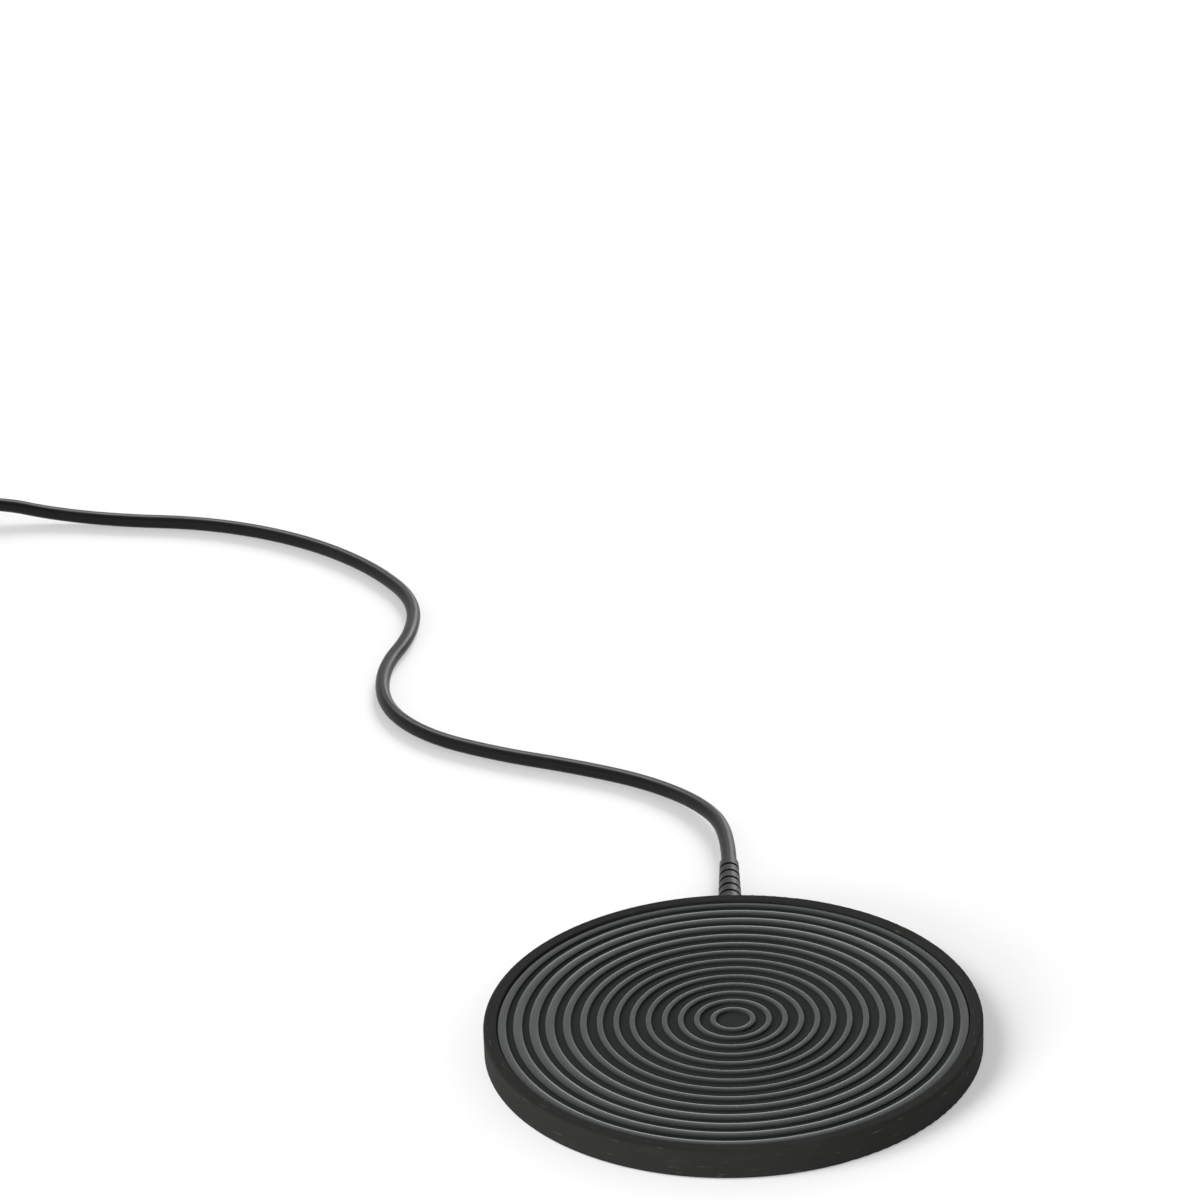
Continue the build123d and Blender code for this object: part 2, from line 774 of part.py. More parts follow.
def case_hollow(low, high):
    """Space inside the case's walls between two heights."""
    length, width = case_length - 2 * case_wall, case_width - 2 * case_wall
    outline = RectangleRounded(length, width, case_corner - case_wall)
    return Pos(0, 0, low) * extrude(outline, high - low)


def clamp_ribs(low, high):
    """Two walls across the case that grip the cord's ends."""
    reach = case_width / 2 - case_wall + 0.2
    start = cord_end_in_case + clamp_rib_inset
    rib = block(start, start + clamp_rib_thickness, -reach, reach, low, high)
    return [rib, Rot(0, 0, 180) * rib]


def cord_bore(gap):
    """Bore for the cord right through both ends of the case."""
    return bar(cord_radius + gap, (-case_end - 1, 0, case_split), case_length + 2, "x")


def switch_case_lower():
    """Lower half: floor, walls, cord clamps and two screw posts."""
    shell = case_blank(0, case_split)
    shell = fillet(shell.faces().sort_by(Axis.Z)[0].edges(), case_edge_radius)
    shell -= case_hollow(case_wall, case_split + 1)
    shell += clamp_ribs(case_wall - 0.2, case_split)
    seat = head_thickness * 2 + 0.2
    for side in (-1, 1):
        x = side * switch_screw_reach
        shell += post(post_radius, case_wall - 0.2, case_split, x, switch_screw_side)
        shell -= post(switch_pilot + shank_clearance, -1, case_split + 1, x, switch_screw_side)
        shell -= post(switch_head_radius + 0.2, -1, seat, x, switch_screw_side)
    return at_switch(shell - cord_bore(cord_hole_gap))


def switch_case_upper():
    """Upper half: walls, top with the rocker's opening, two bearing ears and two posts."""
    shell = case_blank(case_split, case_height)
    shell = fillet(shell.faces().sort_by(Axis.Z)[-1].edges(), case_edge_radius)
    ceiling = case_height - case_wall
    shell -= case_hollow(case_split - 1, ceiling)
    shell += clamp_ribs(case_split, ceiling + 0.2)
    half_long = rocker_length / 2 + opening_end_gap
    half_wide = rocker_width / 2 + opening_side_gap
    ear_low = rocker_pivot_height - trunnion_radius - 0.6
    for side in (-1, 1):
        near, far = sorted([side * half_wide, side * (half_wide + ear_thickness)])
        shell += block(-2.2, 2.2, near, far, ear_low, ceiling + 0.2)
        x = side * switch_screw_reach
        shell += post(post_radius, case_split, ceiling + 0.2, x, switch_screw_side)
        shell -= post(switch_pilot, case_split - 1, ceiling - pilot_roof, x, switch_screw_side)
    shell -= block(-half_long, half_long, -half_wide, half_wide, ceiling - 1, case_height + 1)
    bearing_end = half_wide + ear_thickness + 1
    bore = bar(trunnion_radius + trunnion_gap, (0, -bearing_end, rocker_pivot_height), 2 * bearing_end, "y")
    shell -= bore
    return at_switch(shell - cord_bore(cord_hole_gap))


def switch_screws():
    """Two screws from below that close the switch case."""
    depth = head_thickness * 2
    tip = case_height - case_wall - 2
    one = screw(switch_pilot - thread_gap, switch_head_radius, depth + 0.2, tip, depth)
    return at_switch([Pos(side * switch_screw_reach, switch_screw_side, 0) * one for side in (-1, 1)])


def rocker_bore_top():
    """Height of the blind end of the bore that holds the plunger and its spring."""
    return case_height + rocker_rise - rocker_dip - 0.9


def switch_rocker():
    """Rocker with two trunnions and a bore for the plunger, resting tilted to off."""
    top = case_height + rocker_rise
    end, foot = rocker_length / 2, rocker_length / 2 - 0.8
    outline = [
        (-end, top),
        (0, top - rocker_dip),
        (end, top),
        (foot, rocker_pivot_height - 0.2),
        (1.9, rocker_pivot_height - 1.8),
        (-1.9, rocker_pivot_height - 1.8),
        (-foot, rocker_pivot_height - 0.2),
    ]
    face = Plane.XZ * make_face(Polyline(*outline, close=True))
    body = extrude(face, rocker_width / 2, both=True)
    body = fillet(body.edges().filter_by(Axis.Y).group_by(Axis.Z)[-1], 0.5)
    half = rocker_width / 2 + trunnion_length
    body += bar(trunnion_radius, (0, -half, rocker_pivot_height), 2 * half, "y")
    body -= post(plunger_radius + plunger_gap, rocker_pivot_height - 3, rocker_bore_top())
    return at_switch(tilted(body, rocker_pivot_height, -rocker_tilt))


plunger_tip = lever_height + lever_thickness + plunger_play


def switch_plunger():
    """Round-nosed plunger that presses on the lever."""
    body = post(plunger_radius, plunger_tip, plunger_tip + plunger_height)
    body = fillet(body.faces().sort_by(Axis.Z)[0].edges(), plunger_radius * 0.8)
    return at_switch(tilted(body, rocker_pivot_height, -rocker_tilt))


def plunger_spring():
    """Small compression spring above the plunger."""
    low = plunger_tip + plunger_height + spring_wire / 2 + 0.02
    high = rocker_bore_top() - spring_wire / 2 - 0.02
    radius = plunger_radius - spring_wire / 2 - 0.05
    path = Helix(pitch=(high - low) / spring_turns, height=high - low, radius=radius)
    section = Plane(origin=path @ 0, z_dir=path % 0) * Circle(spring_wire / 2)
    coil = Pos(0, 0, low) * sweep(section, path=path, is_frenet=True)
    return at_switch(tilted(coil, rocker_pivot_height, -rocker_tilt))


def contact_lever():
    """See-saw contact, grooved for its pivot, that tips as the plunger crosses it."""
    half, side = lever_length / 2, lever_width / 2
    strip = block(-half, half, -side, side, lever_height, lever_height + lever_thickness)
    strip = fillet(strip.edges().filter_by(Axis.Z), 0.6)
    strip -= bar(lever_groove, (0, -lever_width, lever_height), 2 * lever_width, "y")
    return at_switch(tilted(strip, lever_height, lever_tilt))


def terminal(post_x, post_top, outward):
    """Brass strip on the case's floor with an upright post."""
    half = terminal_width / 2
    low, high = sorted([post_x - outward * terminal_post / 2, outward * terminal_reach])
    strip = block(low, high, -half, half, case_wall, case_wall + terminal_thickness)
    near, far = post_x - terminal_post / 2, post_x + terminal_post / 2
    return strip + block(near, far, -half, half, case_wall, post_top)


def pivot_terminal():
    """Terminal with the round ridge that the lever's groove rocks on."""
    ridge = lever_groove - lever_play
    pivot = terminal(0, lever_height - ridge / 2, 1)
    pivot += bar(ridge, (0, -terminal_width / 2, lever_height), terminal_width, "y")
    return at_switch(pivot)


def contact_terminal():
    """Terminal that the lever closes on."""
    post_x = -lever_length / 2 + terminal_post / 2 + 0.2
    reach = abs(post_x - terminal_post / 2)
    top = lever_height - reach * sin(radians(lever_tilt)) - contact_play
    return at_switch(terminal(post_x, top, -1))


def switch_positive_wires():
    """The two ends of the switched core, each on its terminal."""
    land_z = case_wall + terminal_thickness + supply_wire / 2 + land_gap
    start = cord_end_in_case
    points = [
        (start, core_side, case_split),
        (start - core_straight, core_side, case_split),
        (terminal_reach + 1.8, 0.3, land_z),
        (terminal_reach - 1.6, 0.1, land_z + 0.01),
    ]
    wire = tube(points, supply_wire)
    return at_switch([wire, mirror(wire, Plane.YZ)])


def switch_negative_wire():
    """The unswitched core, passing by along the case's wall."""
    start, floor = cord_end_in_case, case_wall + supply_wire / 2 + 0.1
    wall_side = case_width / 2 - case_wall - 2.0
    half = [
        (start, -core_side, case_split),
        (start - core_straight, -core_side, case_split),
        (terminal_reach + 2.0, 0.8 - wall_side, floor + 0.6),
    ]
    middle = [(0, -wall_side, floor)]
    points = half + middle + [(-x, y, z) for x, y, z in reversed(half)]
    return at_switch(tube(points, supply_wire))


# ---- Plug ----
def at_plug(shape):
    """Turns a plug piece, modelled along +X from the cord's end, to lie along -Y on the table."""
    if isinstance(shape, list):
        return [at_plug(one) for one in shape]
    return Pos(plug_x, plug_y, plug_height) * Rot(0, 0, -90) * shape


grip_start = plug_boot_length
grip_end = grip_start + grip_length
grip_height = 2 * plug_height
shell_start = grip_end - shell_insert


def plug_grip():
    """Overmoulded grip with its tapered tail and finger grooves."""
    half = grip_width / 2
    grip = block(grip_start, grip_end, -half, half, -grip_height / 2, grip_height / 2)
    grip = fillet(grip.edges(), grip_edge_radius)
    tail = Rot(0, 90, 0) * Cone(
        cord_radius + 0.5,
        plug_boot_diameter / 2,
        plug_boot_length + 1,
        align=(Align.CENTER, Align.CENTER, Align.MIN),
    )
    groove_start = grip_start + 5.0
    for index in range(grip_groove_count):
        x = groove_start + index * grip_groove_pitch
        for side in (-1, 1):
            near, far = sorted([side * (half - grip_groove_depth), side * (half + 1)])
            reach = grip_height / 2 - grip_edge_radius * 0.6
            grip -= block(x, x + grip_groove_width, near, far, -reach, reach)
    pocket_w, pocket_h = shell_width / 2 + shell_gap, shell_height / 2 + shell_gap
    grip -= block(shell_start, grip_end + 1, -pocket_w, pocket_w, -pocket_h, pocket_h)
    return at_plug(grip + tail)


def plug_shell():
    """Folded steel shell with its two latch windows top and bottom."""
    end = grip_end + shell_length
    w, h = shell_width / 2, shell_height / 2
    shell = block(shell_start, end, -w, w, -h, h)
    shell = fillet(shell.edges().filter_by(Axis.X), 0.6)
    inner_w, inner_h = w - shell_wall, h - shell_wall
    bore = block(shell_start - 1, end + 1, -inner_w, inner_w, -inner_h, inner_h)
    shell -= fillet(bore.edges().filter_by(Axis.X), 0.3)
    window_x = end - 5.2 - shell_window
    for side in (-1, 1):
        near = side * shell_window_side - shell_window / 2
        shell -= block(window_x, window_x + shell_window, near, near + shell_window, -h - 1, h + 1)
    return at_plug(shell)


def plug_tongue():
    """Insulator: a block that fills the shell's back and a tongue towards its mouth."""
    w, h = shell_width / 2 - shell_wall - 0.05, shell_height / 2 - shell_wall - 0.05
    core = block(shell_start, grip_end + 1.0, -w, w, -h, h)
    core = fillet(core.edges().filter_by(Axis.X), 0.35)
    end = grip_end + shell_length - tongue_recess
    side = w - tongue_side_gap
    return at_plug(core + block(grip_end, end, -side, side, -h, -h + tongue_thickness))


def plug_contacts():
    """Four contact strips on the tongue, one solid each."""
    h = shell_height / 2 - shell_wall - 0.05
    low = -h + tongue_thickness
    end = grip_end + shell_length - tongue_recess - 1.0
    strips = []
    for index in range(4):
        y = (index - 1.5) * contact_pitch
        near, far = y - contact_width / 2, y + contact_width / 2
        strips.append(block(grip_end + 1.0, end, near, far, low, low + contact_thickness))
    return at_plug(strips)


sub_parts = [
    housing_ring,
    base_cover,
    warming_plate,
    plate_gasket,
    rubber_feet,
    heating_film,
    insulation_pad,
    retainer_plate,
    retainer_screws,
    plate_screws,
    base_screws,
    control_board,
    board_screws,
    controller_chip,
    power_transistor,
    board_capacitors,
    temperature_sensor,
    sensor_leads,
    thermal_fuse,
    fuse_leads,
    heater_leads,
    supply_wire_positive,
    supply_wire_negative,
    strain_relief,
    cord_to_switch,
    cord_to_coil,
    cord_coil,
    cord_tie,
    cord_to_plug,
    switch_case_lower,
    switch_case_upper,
    switch_screws,
    switch_rocker,
    switch_plunger,
    plunger_spring,
    contact_lever,
    pivot_terminal,
    contact_terminal,
    switch_positive_wires,
    switch_negative_wire,
    plug_grip,
    plug_shell,
    plug_tongue,
    plug_contacts,
]

os.makedirs("parts", exist_ok=True)
for make in sub_parts:
    made = make()
    if isinstance(made, list):
        made = Compound(children=made)
    export_step(made, f"parts/{make.__name__}.step")
print(len(sub_parts), "sub-parts written")
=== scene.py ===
from math import cos, pi, radians, sin, sqrt

import bmesh
import bpy
from mathutils import Matrix, Vector


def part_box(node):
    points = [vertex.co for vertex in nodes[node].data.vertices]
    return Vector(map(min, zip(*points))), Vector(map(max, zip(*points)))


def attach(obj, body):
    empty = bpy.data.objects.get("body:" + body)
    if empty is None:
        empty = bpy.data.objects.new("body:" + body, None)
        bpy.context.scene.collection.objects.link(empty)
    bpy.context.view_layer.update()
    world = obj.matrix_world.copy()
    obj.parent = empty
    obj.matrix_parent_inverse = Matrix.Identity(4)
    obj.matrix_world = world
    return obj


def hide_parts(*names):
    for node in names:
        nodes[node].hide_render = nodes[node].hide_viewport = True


mm = 0.001

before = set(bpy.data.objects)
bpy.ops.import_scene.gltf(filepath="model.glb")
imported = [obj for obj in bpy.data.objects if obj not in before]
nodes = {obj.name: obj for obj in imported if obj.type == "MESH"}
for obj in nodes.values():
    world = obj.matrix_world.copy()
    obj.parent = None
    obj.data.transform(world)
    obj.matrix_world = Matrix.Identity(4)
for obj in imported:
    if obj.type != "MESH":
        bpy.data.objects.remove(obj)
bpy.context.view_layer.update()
print("frame loaded:", len(nodes), "nodes")

# The view, from in front and above.
camera = {
    "place": (0.106 * mm, -947.785 * mm, 573.422 * mm),
    "heading": 1.5707,  # degrees, turned left from straight ahead
    "tilt": 63.9444,  # up from straight down
    "roll": -2.0792,
    "lens": 150,
    "sensor": 36,
    "near": 10 * mm,
    "far": 50,
}


def makeCamera():
    data = bpy.data.cameras.new("camera")
    data.lens = camera["lens"]
    data.sensor_width = camera["sensor"]
    data.clip_start = camera["near"]
    data.clip_end = camera["far"]
    holder = bpy.data.objects.new("camera", data)
    bpy.context.collection.objects.link(holder)
    turn = Matrix.Rotation(radians(camera["heading"]), 4, "Z")
    turn = turn @ Matrix.Rotation(radians(camera["tilt"]), 4, "X")
    turn = turn @ Matrix.Rotation(radians(camera["roll"]), 4, "Z")
    holder.matrix_world = Matrix.Translation(camera["place"]) @ turn
    bpy.context.scene.camera = holder


makeCamera()
print("camera placed")

# Both cords: round jackets on routes given in millimetres, and a coil that a formula winds.
cordDiameter = 3.6 * mm
cordFineness = {"along": 14, "round": 9}
routeToSwitch = [
    (0, 75, 3.5),
    (0, 90.5, 3.5),
    (-5.5, 106, 2.5),
    (-18.5, 119.5, 1.8),
    (-36, 128.5, 1.8),
    (-56.5, 136.5, 1.8),
    (-74.5, 147, 1.8),
    (-85.5, 163, 1.8),
    (-87, 184, 1.8),
    (-80, 204, 1.8),
    (-80.5, 223.5, 1.8),
    (-91, 241.5, 1.8),
    (-105.5, 256.5, 1.8),
    (-122.5, 267.5, 1.8),
    (-141.5, 274.5, 1.8),
    (-162, 277, 1.8),
    (-181, 281, 2.4),
    (-197, 284, 5),
    (-212, 284, 5),
]
routeToCoil = [
    (-250, 284, 5),
    (-265, 284, 5),
    (-276.5, 277, 3.6),
    (-281.5, 265, 2.5),
    (-282.17, 250, 2.35),
]
routeToPlug = [
    (-229, 196.665, 6.1),
    (-218.6, 191, 4.8),
    (-212.5, 180.3, 4),
    (-212.5, 168, 4),
]
coil = {
    "centre": (-257, 220),
    "lowHeight": 2.35,  # centreline of the lower turns
    "layerRise": 3.18,  # upper turns above the lower ones
    "leaveRise": 3.75,  # the end that leaves lies a little above the upper turns
    "leaveSweep": 90,  # and turns on this far past the last of them
    "lowRadii": (25.17, 21.5, 17.83),
    "highRadii": (19.67, 23.33),
    "pointsPerTurn": 16,
    "startAzimuth": 180,
    "crossStart": 260,  # degrees of travel into each turn where it moves to the next
    "crossSweep": 60,
    "climbBulge": 1.9,  # the turn that climbs swings inwards by this
    "crossHump": 0.5,
}


def smoothStep(share):
    share = min(max(share, 0), 1)
    return share * share * (3 - 2 * share)


# Radius and height of the coil's centreline at a travel in degrees.
def coilRadiusAndRise(travel):
    radii = [*coil["lowRadii"], *coil["highRadii"]]
    rises = [0] * len(coil["lowRadii"]) + [coil["layerRise"]] * len(coil["highRadii"])
    climb = len(coil["lowRadii"]) - 1  # the turn in which the cord climbs to the upper layer
    radius, rise = radii[0], rises[0]
    for turn in range(len(radii) - 1):
        share = (travel - 360 * turn - coil["crossStart"]) / coil["crossSweep"]
        step = smoothStep(share)
        radius += (radii[turn + 1] - radii[turn]) * step
        rise += (rises[turn + 1] - rises[turn]) * step
        if 0 < share < 1:
            if turn == climb:
                radius -= coil["climbBulge"] * sin(pi * share)
            if turn == climb + 1:
                rise += coil["crossHump"] * sin(pi * share)
    last = smoothStep((travel - 360 * len(radii)) / coil["leaveSweep"])
    return radius, rise + (coil["leaveRise"] - coil["layerRise"]) * last


# The coil's turns as more control points of the cord.
def coilPoints():
    turns = len(coil["lowRadii"]) + len(coil["highRadii"])
    step = 360 / coil["pointsPerTurn"]
    cornerCut = 0.75 + 0.25 * cos(radians(step))  # how far inside its points the spline runs
    points = []
    travel = step / 2
    while travel < 360 * turns + coil["leaveSweep"]:
        radius, rise = coilRadiusAndRise(travel)
        azimuth = radians(coil["startAzimuth"] + travel)
        x = coil["centre"][0] + radius / cornerCut * cos(azimuth)
        y = coil["centre"][1] + radius / cornerCut * sin(azimuth)
        points.append((x, y, coil["lowHeight"] + rise))
        travel += step
    return points


def makeCord(name, route):
    data = bpy.data.curves.new(name, "CURVE")
    data.dimensions = "3D"
    spline = data.splines.new("NURBS")
    spline.points.add(len(route) - 1)
    for point, place in zip(spline.points, route):
        point.co = (*(Vector(place) * mm), 1)
        point.radius = cordDiameter / 2
    spline.order_u = 3  # keeps the cord close inside its points
    spline.use_endpoint_u = True
    data.resolution_u = cordFineness["along"]
    data.bevel_depth = 1  # times each point's radius
    data.bevel_resolution = cordFineness["round"]
    data.use_fill_caps = True
    cord = bpy.data.objects.new(name, data)
    bpy.context.collection.objects.link(cord)
    return cord


switchPieces = [
    "switch_case_lower",
    "switch_case_upper",
    "switch_screws",
    "switch_rocker",
    "switch_plunger",
    "plunger_spring",
    "contact_lever",
    "pivot_terminal",
    "contact_terminal",
    "switch_positive_wires",
    "switch_negative_wire",
]
plugPieces = ["plug_grip", "plug_shell", "plug_tongue", "plug_contacts"]

supplyCord = makeCord("supplyCord", routeToSwitch)
plugCord = makeCord("plugCord", [*routeToCoil, *coilPoints(), *routeToPlug])
print("cords laid")

# The strap that ties the coil, millimetres, with its free end lapped over its start.
tie = {
    "azimuth": 20,
    "width": 8.0,
    "thickness": 0.5,
    "gap": 0.02,
    "lowest": 0.01,  # above the table
    "pointsRound": 40,  # round each turn of cord, to find the strap's line
    "columns": 10,
    "spacing": 0.7,  # along the strap
    "overlap": 9.0,  # the free end lies this far over the start
    "lapLift": 1.15,  # in thicknesses
    "lapStart": 2,  # rows before the overlap where the strap begins to rise
    "lapRows": 3,  # rows in which it rises
}


def cross(a, b, c):
    return (b[0] - a[0]) * (c[1] - a[1]) - (b[1] - a[1]) * (c[0] - a[0])


# Outline round a set of flat points, the way a tight strap runs.
def tightOutline(points):
    def chain(ordered):
        kept = []
        for point in ordered:
            while len(kept) > 1 and cross(kept[-2], kept[-1], point) <= 0:
                kept.pop()
            kept.append(point)
        return kept[:-1]

    ordered = sorted(set(points))
    return chain(ordered) + chain(ordered[::-1])


# The strap's line in radius and height, evenly stepped, starting on top of the bundle.
def strapLine():
    reach = cordDiameter / mm / 2 + tie["gap"]
    high = coil["lowHeight"] + coil["layerRise"]
    middles = [(radius, coil["lowHeight"]) for radius in coil["lowRadii"]]
    middles += [(radius, high) for radius in coil["highRadii"]]
    around = []
    for radius, height in middles:
        for index in range(tie["pointsRound"]):
            angle = 2 * pi * index / tie["pointsRound"]
            around.append((radius + reach * cos(angle), height + reach * sin(angle)))
    outline = [Vector(point) for point in tightOutline(around)]
    top = max(range(len(outline)), key=lambda index: (round(outline[index].y, 3), outline[index].x))
    outline = outline[top:] + outline[: top + 1]
    stepped = [outline[0]]
    for start, end in zip(outline, outline[1:]):
        pieces = max(1, round((end - start).length / tie["spacing"]))
        stepped += [start.lerp(end, (piece + 1) / pieces) for piece in range(pieces)]
    return stepped


def makeTie():
    line = strapLine()
    lap = next(index for index, spot in enumerate(line) if (spot - line[0]).length > tie["overlap"])
    line += line[1:lap]
    rings = len(line)
    mesh = bmesh.new()
    uv = mesh.loops.layers.uv.new("strap")
    radial = Vector((cos(radians(tie["azimuth"])), sin(radians(tie["azimuth"]))))
    along = Vector((-radial.y, radial.x))
    travelled = 0.0
    rows = []
    for index, spot in enumerate(line):
        before, after = line[max(index - 1, 0)], line[min(index + 1, rings - 1)]
        direction = (after - before).normalized()
        outward = Vector((direction.y, -direction.x))
        risen = (index - (rings - lap) + tie["lapStart"]) / tie["lapRows"]
        lift = tie["thickness"] * tie["lapLift"] * smoothStep(risen)
        if index:
            travelled += (spot - line[index - 1]).length
        row = []
        for height in (0, tie["thickness"]):
            flat = spot + outward * (height + lift)
            for column in range(tie["columns"] + 1):
                side = (column / tie["columns"] - 0.5) * tie["width"]
                depth = sqrt(flat.x**2 - side**2)
                x = coil["centre"][0] + radial.x * depth + along.x * side
                y = coil["centre"][1] + radial.y * depth + along.y * side
                corner = mesh.verts.new(Vector((x, y, max(flat.y, tie["lowest"]))) * mm)
                row.append((corner, side, travelled))
        rows.append(row)
    count = tie["columns"] + 1

    def face(*corners):
        made = mesh.faces.new([corner[0] for corner in corners])
        made.smooth = True
        for loop, corner in zip(made.loops, corners):
            loop[uv].uv = (corner[1] * mm, corner[2] * mm)

    for low, high in zip(rows, rows[1:]):
        for column in range(tie["columns"]):
            face(low[column + 1], low[column], high[column], high[column + 1])
            outer = count + column
            face(low[outer], low[outer + 1], high[outer + 1], high[outer])
        face(low[0], low[count], high[count], high[0])
        face(low[count - 1 + count], low[count - 1], high[count - 1], high[count - 1 + count])
    for row, flip in ((rows[0], False), (rows[-1], True)):
        for column in range(tie["columns"]):
            corners = [row[column], row[column + 1], row[count + column + 1], row[count + column]]
            face(*(corners[::-1] if flip else corners))
    bmesh.ops.recalc_face_normals(mesh, faces=mesh.faces)
    data = bpy.data.meshes.new("tieStrap")
    mesh.to_mesh(data)
    mesh.free()
    strap = bpy.data.objects.new("tieStrap", data)
    bpy.context.collection.objects.link(strap)
    return strap


tieStrap = makeTie()
for piece, stoodFor, slot in (
    (supplyCord, ["cord_to_switch"], "cord_black"),
    (plugCord, ["cord_to_coil", "cord_coil", "cord_to_plug"], "cord_black"),
    (tieStrap, ["cord_tie"], "tie_strap"),
):
    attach(piece, "warmer")
    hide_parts(*stoodFor)

# The ribbed plate, millimetres.
plate = {
    "radius": 51.85,
    "crest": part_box("warming_plate")[1].z / mm,
    "ribHeight": 0.8,
    "floor": 1.0,  # metal under the grooves
    "ribPitch": 3.55,
    "ribWidths": (1.9, 2.0, 2.0, 2.0, 1.65, 1.45, 1.3, 1.2),  # from the edge inwards, the last repeats
    "crestFlat": 0.4,
    "crownTilt": 16,  # slope at the edge of the crown, degrees
    "edgeRound": 0.12,
    "arcSteps": 4,
    "centreClear": 1.5,
    "bosses": ((46, 45, 3.6), (38, 30, 3.2)),  # circle, first azimuth and lower end of each three
    "bossRadius": 2.25,
    "boreRadius": 0.75,
    "bossSink": 0.2,  # a little into the metal above
    "bossSteps": 40,
    "steps": 240,
    "weld": 0.0005,
    "sharpAngle": 40,
}


# One side of a rib as distance from its middle and drop below its crest: flat, shallow crown, small edge.
def ribSide(half):
    tilt = radians(plate["crownTilt"])
    edge = plate["edgeRound"]
    flat = plate["crestFlat"] / 2
    steps = plate["arcSteps"]
    crown = (half - flat - edge * (1 - sin(tilt))) / sin(tilt)
    side = [(flat, 0)]
    for step in range(1, steps + 1):
        angle = tilt * step / steps
        side.append((flat + crown * sin(angle), crown * (1 - cos(angle))))
    reach, drop = side[-1]
    for step in range(1, steps + 1):
        angle = tilt + (pi / 2 - tilt) * step / steps
        side.append((reach + edge * (sin(angle) - sin(tilt)), drop + edge * (cos(tilt) - cos(angle))))
    return side


# Half of the plate's section in radius and height: from the centre out over the ribs, back underneath.
def plateOutline():
    groove = plate["crest"] - plate["ribHeight"]
    ribs = []
    inner = plate["radius"] - plate["ribWidths"][0]
    while inner > plate["centreClear"]:
        width = plate["ribWidths"][min(len(ribs), len(plate["ribWidths"]) - 1)]
        ribs.append((inner, inner + width))
        inner -= plate["ribPitch"]
    points = [(0, groove)]
    for inner, outer in reversed(ribs):
        middle = (inner + outer) / 2
        side = ribSide((outer - inner) / 2)
        points.append((inner, groove))
        points += [(middle - reach, plate["crest"] - drop) for reach, drop in reversed(side)]
        points += [(middle + reach, plate["crest"] - drop) for reach, drop in side]
        points.append((outer, groove))
    underside = groove - plate["floor"]
    return points[:-1] + [(plate["radius"], underside), (0, underside)]


# Turns an outline of radius and height round an upright axis, as places and faces.
def turned(outline, steps, middle=(0, 0), closed=False):
    spots, faces = [], []
    count = len(outline)
    for step in range(steps):
        angle = 2 * pi * step / steps
        for radius, height in outline:
            spots.append((middle[0] + radius * cos(angle), middle[1] + radius * sin(angle), height))
        here, there = step * count, (step + 1) % steps * count
        for index in range(count if closed else count - 1):
            after = (index + 1) % count
            faces.append((here + index, there + index, there + after, here + after))
    return spots, faces


def makePlate():
    shells = [turned(plateOutline(), plate["steps"])]
    seat = plate["crest"] - plate["ribHeight"] - plate["floor"] + plate["bossSink"]
    bore, wall = plate["boreRadius"], plate["bossRadius"]
    for circle, first, tip in plate["bosses"]:
        section = [(bore, tip), (wall, tip), (wall, seat), (bore, seat)]
        for azimuth in (first, first + 120, first + 240):
            middle = (circle * cos(radians(azimuth)), circle * sin(radians(azimuth)))
            shells.append(turned(section, plate["bossSteps"], middle, closed=True))
    mesh = bmesh.new()
    for spots, faces in shells:
        corners = [mesh.verts.new(Vector(spot) * mm) for spot in spots]
        for face in faces:
            mesh.faces.new([corners[index] for index in face]).smooth = True
    bmesh.ops.remove_doubles(mesh, verts=mesh.verts, dist=plate["weld"] * mm)  # closes the centre
    bmesh.ops.recalc_face_normals(mesh, faces=mesh.faces)
    data = bpy.data.meshes.new("ribbedPlate")
    mesh.to_mesh(data)
    mesh.free()
    data.set_sharp_from_angle(angle=radians(plate["sharpAngle"]))
    piece = bpy.data.objects.new("ribbedPlate", data)
    bpy.context.collection.objects.link(piece)
    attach(piece, "warmer")
    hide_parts("warming_plate")
    print("plate turned:", len(data.polygons), "faces")


makePlate()


# An sRGB hex colour as the linear one that nodes take.
def colour(code):
    shares = [int(code[i : i + 2], 16) / 255 for i in (1, 3, 5)]
    linear = [s / 12.92 if s <= 0.04045 else ((s + 0.055) / 1.055) ** 2.4 for s in shares]
    return (*linear, 1.0)


# Adds a node: settings are its own values, inputs are numbers, colours or sockets to link.
def addNode(tree, kind, inputs=None, **settings):
    node = tree.nodes.new(kind)
    for name, value in settings.items():
        setattr(node, name, value)
    for name, value in (inputs or {}).items():
        if isinstance(value, bpy.types.NodeSocket):
            tree.links.new(value, node.inputs[name])
        else:
            node.inputs[name].default_value = value
    return node


def startMaterial(name):
    material = bpy.data.materials.new(name)
    material.use_nodes = True
    tree = material.node_tree
    tree.nodes.clear()
    place = addNode(tree, "ShaderNodeTexCoord").outputs["Object"]
    return material, tree, place


def closeMaterial(tree, inputs):
    shader = addNode(tree, "ShaderNodeBsdfPrincipled", inputs)
    addNode(tree, "ShaderNodeOutputMaterial", {"Surface": shader.outputs[0]})


noiseBand = {"From Min": 0.3, "From Max": 0.7}  # nearly all of a noise lies between these
